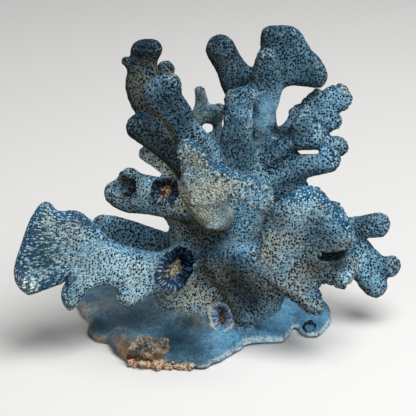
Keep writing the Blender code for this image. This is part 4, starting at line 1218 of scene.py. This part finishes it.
def cupMaterial():
    # ridges over gaps that are dark as painted shade, painted light on the lit side and painted shade on the far
    # side of the bowl, browner on old cups, with a filled middle
    material = newMaterial("ridgedCup", 0.85, 0.08)
    place = addNode("TexCoord").outputs["Object"]
    rib, reach, brown, pale = [readValue(name) for name in ("rib", "reach", "brown", "pale")]
    mottle = noise(place, 800, 3)
    soft = noise(place, 260, 2)
    lit = arith("ADD", readValue("paintedLitSide"), times(arith("SUBTRACT", soft, 0.5), 0.5))
    ridge = ramp(arith("ADD", rib, times(mottle, 1.2)), 0.75, 1.05)
    # ridges painted lighter towards the lit side: painted light
    light = mix(ramp(lit, 0.35, 0.75), (0.05, 0.13, 0.24), (0.26, 0.46, 0.66))
    light = mix(ramp(lit, 0.72, 0.95), light, (0.50, 0.60, 0.60))
    light = mix(times(brown, 0.75), light, (0.085, 0.10, 0.095))
    light = mix(pale, light, (0.95, 1.0, 1.0))
    # the gaps between ridges nearly black as painted shade, lighter towards the painted lit side
    gap = mix(ramp(lit, 0.3, 0.8), (0.001, 0.004, 0.010), (0.026, 0.078, 0.16))
    gap = mix(times(brown, 0.8), gap, (0.006, 0.008, 0.010))
    gap = mix(pale, gap, (0.13, 0.33, 0.64))
    wall = mix(ridge, gap, light)
    warmWall = mix(ridge, (0.010, 0.006, 0.004), (0.13, 0.055, 0.015))
    warmShare = times(brown, ramp(reach, 0.56, 0.7))
    warmShare = times(warmShare, ramp(lit, 0.6, 0.3))
    colour = mix(warmShare, wall, warmWall)
    # the white rim of a pale cup is its own colour, whitest on the painted lit side
    white = times(pale, times(ramp(reach, 0.57, 0.46), ramp(lit, 0.15, 0.6, 0.4, 1)))
    colour = mix(white, colour, (1.0, 1.0, 0.95))
    tan = mix(ramp(mottle, 0.42, 0.58), (0.10, 0.10, 0.08), (0.85, 0.78, 0.56))
    # the middle painted dark away from the lit side: a painted shadow line
    tan = mix(ramp(lit, 0.36, 0.3), tan, (0.004, 0.006, 0.010))
    orange = mix(ramp(mottle, 0.42, 0.6), (0.03, 0.016, 0.007), (0.42, 0.22, 0.08))
    centre = mix(brown, tan, orange)
    centreShare = arith("ADD", reach, times(arith("SUBTRACT", soft, 0.5), 0.35))
    colour = mix(ramp(centreShare, 0.74, 0.86), colour, centre)
    return finished(material, colour, mottle, 0.0005, 0.8)


rock = {
    "middle": (-28.3, -51.6, 6.8), "radii": (9.8, 6.8, 6.6), "around": 240, "up": 120,
    "lumps": ((6, 0.5), (2.6, 0.5), (1.1, 0.34)), "breaks": 18,
    "crumbs": 110, "crumbsFrom": (-35, -55.5, 1.4), "crumbsAlong": (28, -4, 0), "crumbScatter": (1.4, 1.2, 1.0),
    "grains": 5, "grainsAt": (-37, -54, 3.6), "grainScatter": (1.0, 0.4, 1.0), "grainRadius": 1.2,
    "ballAround": 14, "ballUp": 8,
}


def lumpyBall(middle, radii, around, up, lumps, seed, floor=None, breaks=0):
    # a ball whose radius is 1 plus random swellings, cut by flat breaks at random turns, stretched to its radii and
    # pressed flat on the ground
    angle = np.linspace(0, math.tau, around, endpoint=False)
    tilt = np.linspace(-math.pi / 2, math.pi / 2, up + 2)[1:-1, None]
    ball = np.stack([np.cos(tilt) * np.cos(angle), np.cos(tilt) * np.sin(angle), np.sin(tilt) + 0 * angle], -1)
    spread = ball * np.array(radii)
    x, y, z = np.moveaxis(spread, -1, 0)
    swell = sum(height * latticeNoise(x, y, z, size, seed + i) for i, (size, height) in enumerate(lumps))
    reach, ridge = 1 + swell, 0 * swell
    if breaks:
        random = np.random.default_rng(seed)
        facings = random.normal(size=(breaks, 3))
        facings /= np.linalg.norm(facings, axis=1, keepdims=True)
        cuts = random.uniform(0.78, 1.05, breaks) / np.maximum(ball @ facings.T, 0.05)
        cuts = np.sort(cuts, -1)
        reach = np.minimum(1.15, cuts[..., 0]) * (1 + 0.5 * swell)
        ridge = np.clip(1 - (cuts[..., 1] - cuts[..., 0]) / 0.07, 0, 1)
    rings = np.array(middle) + spread * reach[..., None]
    if floor is not None:
        rings[..., 2] = np.maximum(rings[..., 2], floor)
    return (*turned(rings), np.concatenate([ridge.ravel(), [0, 0]]))


def buildRock(material):
    # the lump, with crumbs strewn beside it and a few grains on it
    middle, radii, around, up, lumps = [rock[key] for key in ("middle", "radii", "around", "up", "lumps")]
    parts = [(*lumpyBall(middle, radii, around, up, lumps, 71, 0.3, rock["breaks"]), 0)]
    random = np.random.default_rng(5)
    rings = rock["ballAround"], rock["ballUp"]
    for index in range(rock["crumbs"]):
        share = random.uniform(0, 1) ** 1.3
        scatter = np.array(rock["crumbScatter"]) - (0, 0, 0.6 * share)
        middle = np.array(rock["crumbsFrom"]) + share * np.array(rock["crumbsAlong"]) + random.normal(0, scatter)
        size = (0.5 + 1.5 * random.uniform(0, 1) ** 2) * np.array((1.3, 1, 0.7))
        parts.append((*lumpyBall(middle, size, *rings, ((1.2, 0.5),), 80 + index, 0.2), 1))
    for index in range(rock["grains"]):
        middle = np.array(rock["grainsAt"]) + random.normal(0, rock["grainScatter"])
        parts.append((*lumpyBall(middle, [rock["grainRadius"]] * 3, *rings, ((1.2, 0.15),), 140 + index, 0.2), 2))
    points, quads, fans, ridges, kinds = zip(*parts)
    counts = [len(own) for own in points]
    starts = np.cumsum([0, *counts[:-1]])
    quads, fans = [np.vstack([own + start for own, start in zip(faces, starts)]) for faces in (quads, fans)]
    values = {"kind": np.repeat(np.array(kinds, float), counts), "ridge": np.concatenate(ridges)}
    mesh = meshOf("rubble_stone", np.vstack(points), quads, fans, None, values)
    mesh.materials.append(material)
    show(bpy.data.objects.new("rubble_stone", mesh), "rubble_fragment")


def rockMaterial():
    # a grey-brown lump with pale breaks, rusty near the ground; kind 1 is a crumb and kind 2 a red grain
    material = newMaterial("reefRock", 0.85)
    place = addNode("TexCoord").outputs["Object"]
    kind = readValue("kind")
    broad = noise(place, 160, 4)
    fine = noise(place, 900, 4)
    colour = mix(ramp(broad, 0.35, 0.65), (0.12, 0.11, 0.09), (0.46, 0.42, 0.34))
    pale = times(readValue("ridge"), ramp(fine, 0.42, 0.6, 0, 0.5))
    colour = mix(pale, colour, (0.55, 0.52, 0.45))
    colour = mix(ramp(fine, 0.5, 0.38, 0, 0.75), colour, (0.02, 0.018, 0.015))
    height = addNode("SeparateXYZ", {0: place}).outputs["Z"]
    rust = times(ramp(broad, 0.4, 0.6), ramp(height, 0.011, 0.003, 0.1, 1))
    colour = mix(rust, colour, (0.36, 0.20, 0.08))
    crumb = mix(ramp(fine, 0.45, 0.6), (0.66, 0.55, 0.40), (0.30, 0.14, 0.045))
    crumb = mix(ramp(broad, 0.56, 0.66), crumb, (0.06, 0.04, 0.025))
    colour = mix(ramp(kind, 0.4, 0.6), colour, crumb)
    colour = mix(ramp(kind, 1.4, 1.6), colour, (0.09, 0.008, 0.006))
    return finished(material, colour, fine, 0.0006, 0.8)


stage = {
    "aim": (1, 22.4, 48.0), "distance": 750, "elevation": 25, "lens": 124.8,
    "floorSize": 12, "floorGrey": 0.55, "floorSeen": 0.84,
    "keyPlace": (0.32, -0.2, 1.05), "keySize": 0.8, "keyPower": 14,
    "frontPlace": (-0.7, -1.0, 0.5), "frontSize": 0.8, "frontPower": 2,
    "sky": 0.12,
}


def aimAt(obj, place, target):
    obj.location = place
    obj.rotation_euler = (Vector(place) - Vector(target)).to_track_quat("Z", "Y").to_euler()
    bpy.context.scene.collection.objects.link(obj)


def addLight(name, place, size, power, colour):
    light = bpy.data.lights.new(name, "AREA")
    light.size, light.energy, light.color = size, power, colour
    aimAt(bpy.data.objects.new(name, light), place, (0, 0, 0.06))


def setStage():
    # camera, two soft lights, a pale floor, and a sky that is dim for the colony and white for the camera
    scene = bpy.context.scene
    tilt = math.radians(stage["elevation"])
    aim = Vector(stage["aim"]) * 0.001
    back = Vector((0, -math.cos(tilt), math.sin(tilt))) * stage["distance"] * 0.001
    camera = bpy.data.cameras.new("camera")
    camera.lens, camera.sensor_width = stage["lens"], 36
    camera.clip_start, camera.clip_end = 0.02, 40
    scene.camera = bpy.data.objects.new("camera", camera)
    aimAt(scene.camera, aim + back, aim)
    addLight("keyLight", stage["keyPlace"], stage["keySize"], stage["keyPower"], (1, 0.99, 0.97))
    addLight("frontLight", stage["frontPlace"], stage["frontSize"], stage["frontPower"], (0.96, 0.98, 1))
    half = stage["floorSize"] / 2
    mesh = bpy.data.meshes.new("floor")
    mesh.from_pydata([(-half, -half, 0), (half, -half, 0), (half, half, 0), (-half, half, 0)], [], [(0, 1, 2, 3)])
    floor = bpy.data.objects.new("floor", mesh)
    scene.collection.objects.link(floor)
    material = newMaterial("paleFloor", 0.9, 0.0)
    seen = addNode("LightPath").outputs["Is Camera Ray"]
    grey = mix(seen, [stage["floorGrey"]] * 3, [stage["floorSeen"]] * 3)
    shader = material.node_tree.nodes["Principled BSDF"]
    material.node_tree.links.new(grey, shader.inputs["Base Color"])
    mesh.materials.append(material)
    world = scene.world or bpy.data.worlds.new("world")
    scene.world = world
    world.use_nodes = True
    world.node_tree.nodes.clear()
    current["tree"] = world.node_tree
    path = addNode("LightPath").outputs
    seen = arith("MAXIMUM", path["Is Glossy Ray"], path["Is Transmission Ray"])
    seen = arith("MAXIMUM", path["Is Camera Ray"], seen)
    strength = ramp(seen, 0, 1, stage["sky"], 1.0)
    sky = addNode("Background", {"Color": (1, 1, 1, 1), "Strength": strength})
    addNode("OutputWorld", {"Surface": sky.outputs[0]})
    scene.view_settings.view_transform = "Standard"


pores, ground = poreGroup(), groundGroup()
materials = {
    "branch_pored": coralMaterial("poredCoral", pores, ground, 0.9, 0.06),
    "crust_smooth": coralMaterial("smoothCrust", pores, ground, 0.6, 0.25),
    "cup_ridged": cupMaterial(),
    "reef_rock": rockMaterial(),
}
buildColony(materials)
for number, (name, cup) in enumerate(cups.items()):
    buildCup(name, cup, materials["cup_ridged"], 20 + number)
buildRock(materials["reef_rock"])
print("cups and rubble made")
setStage()
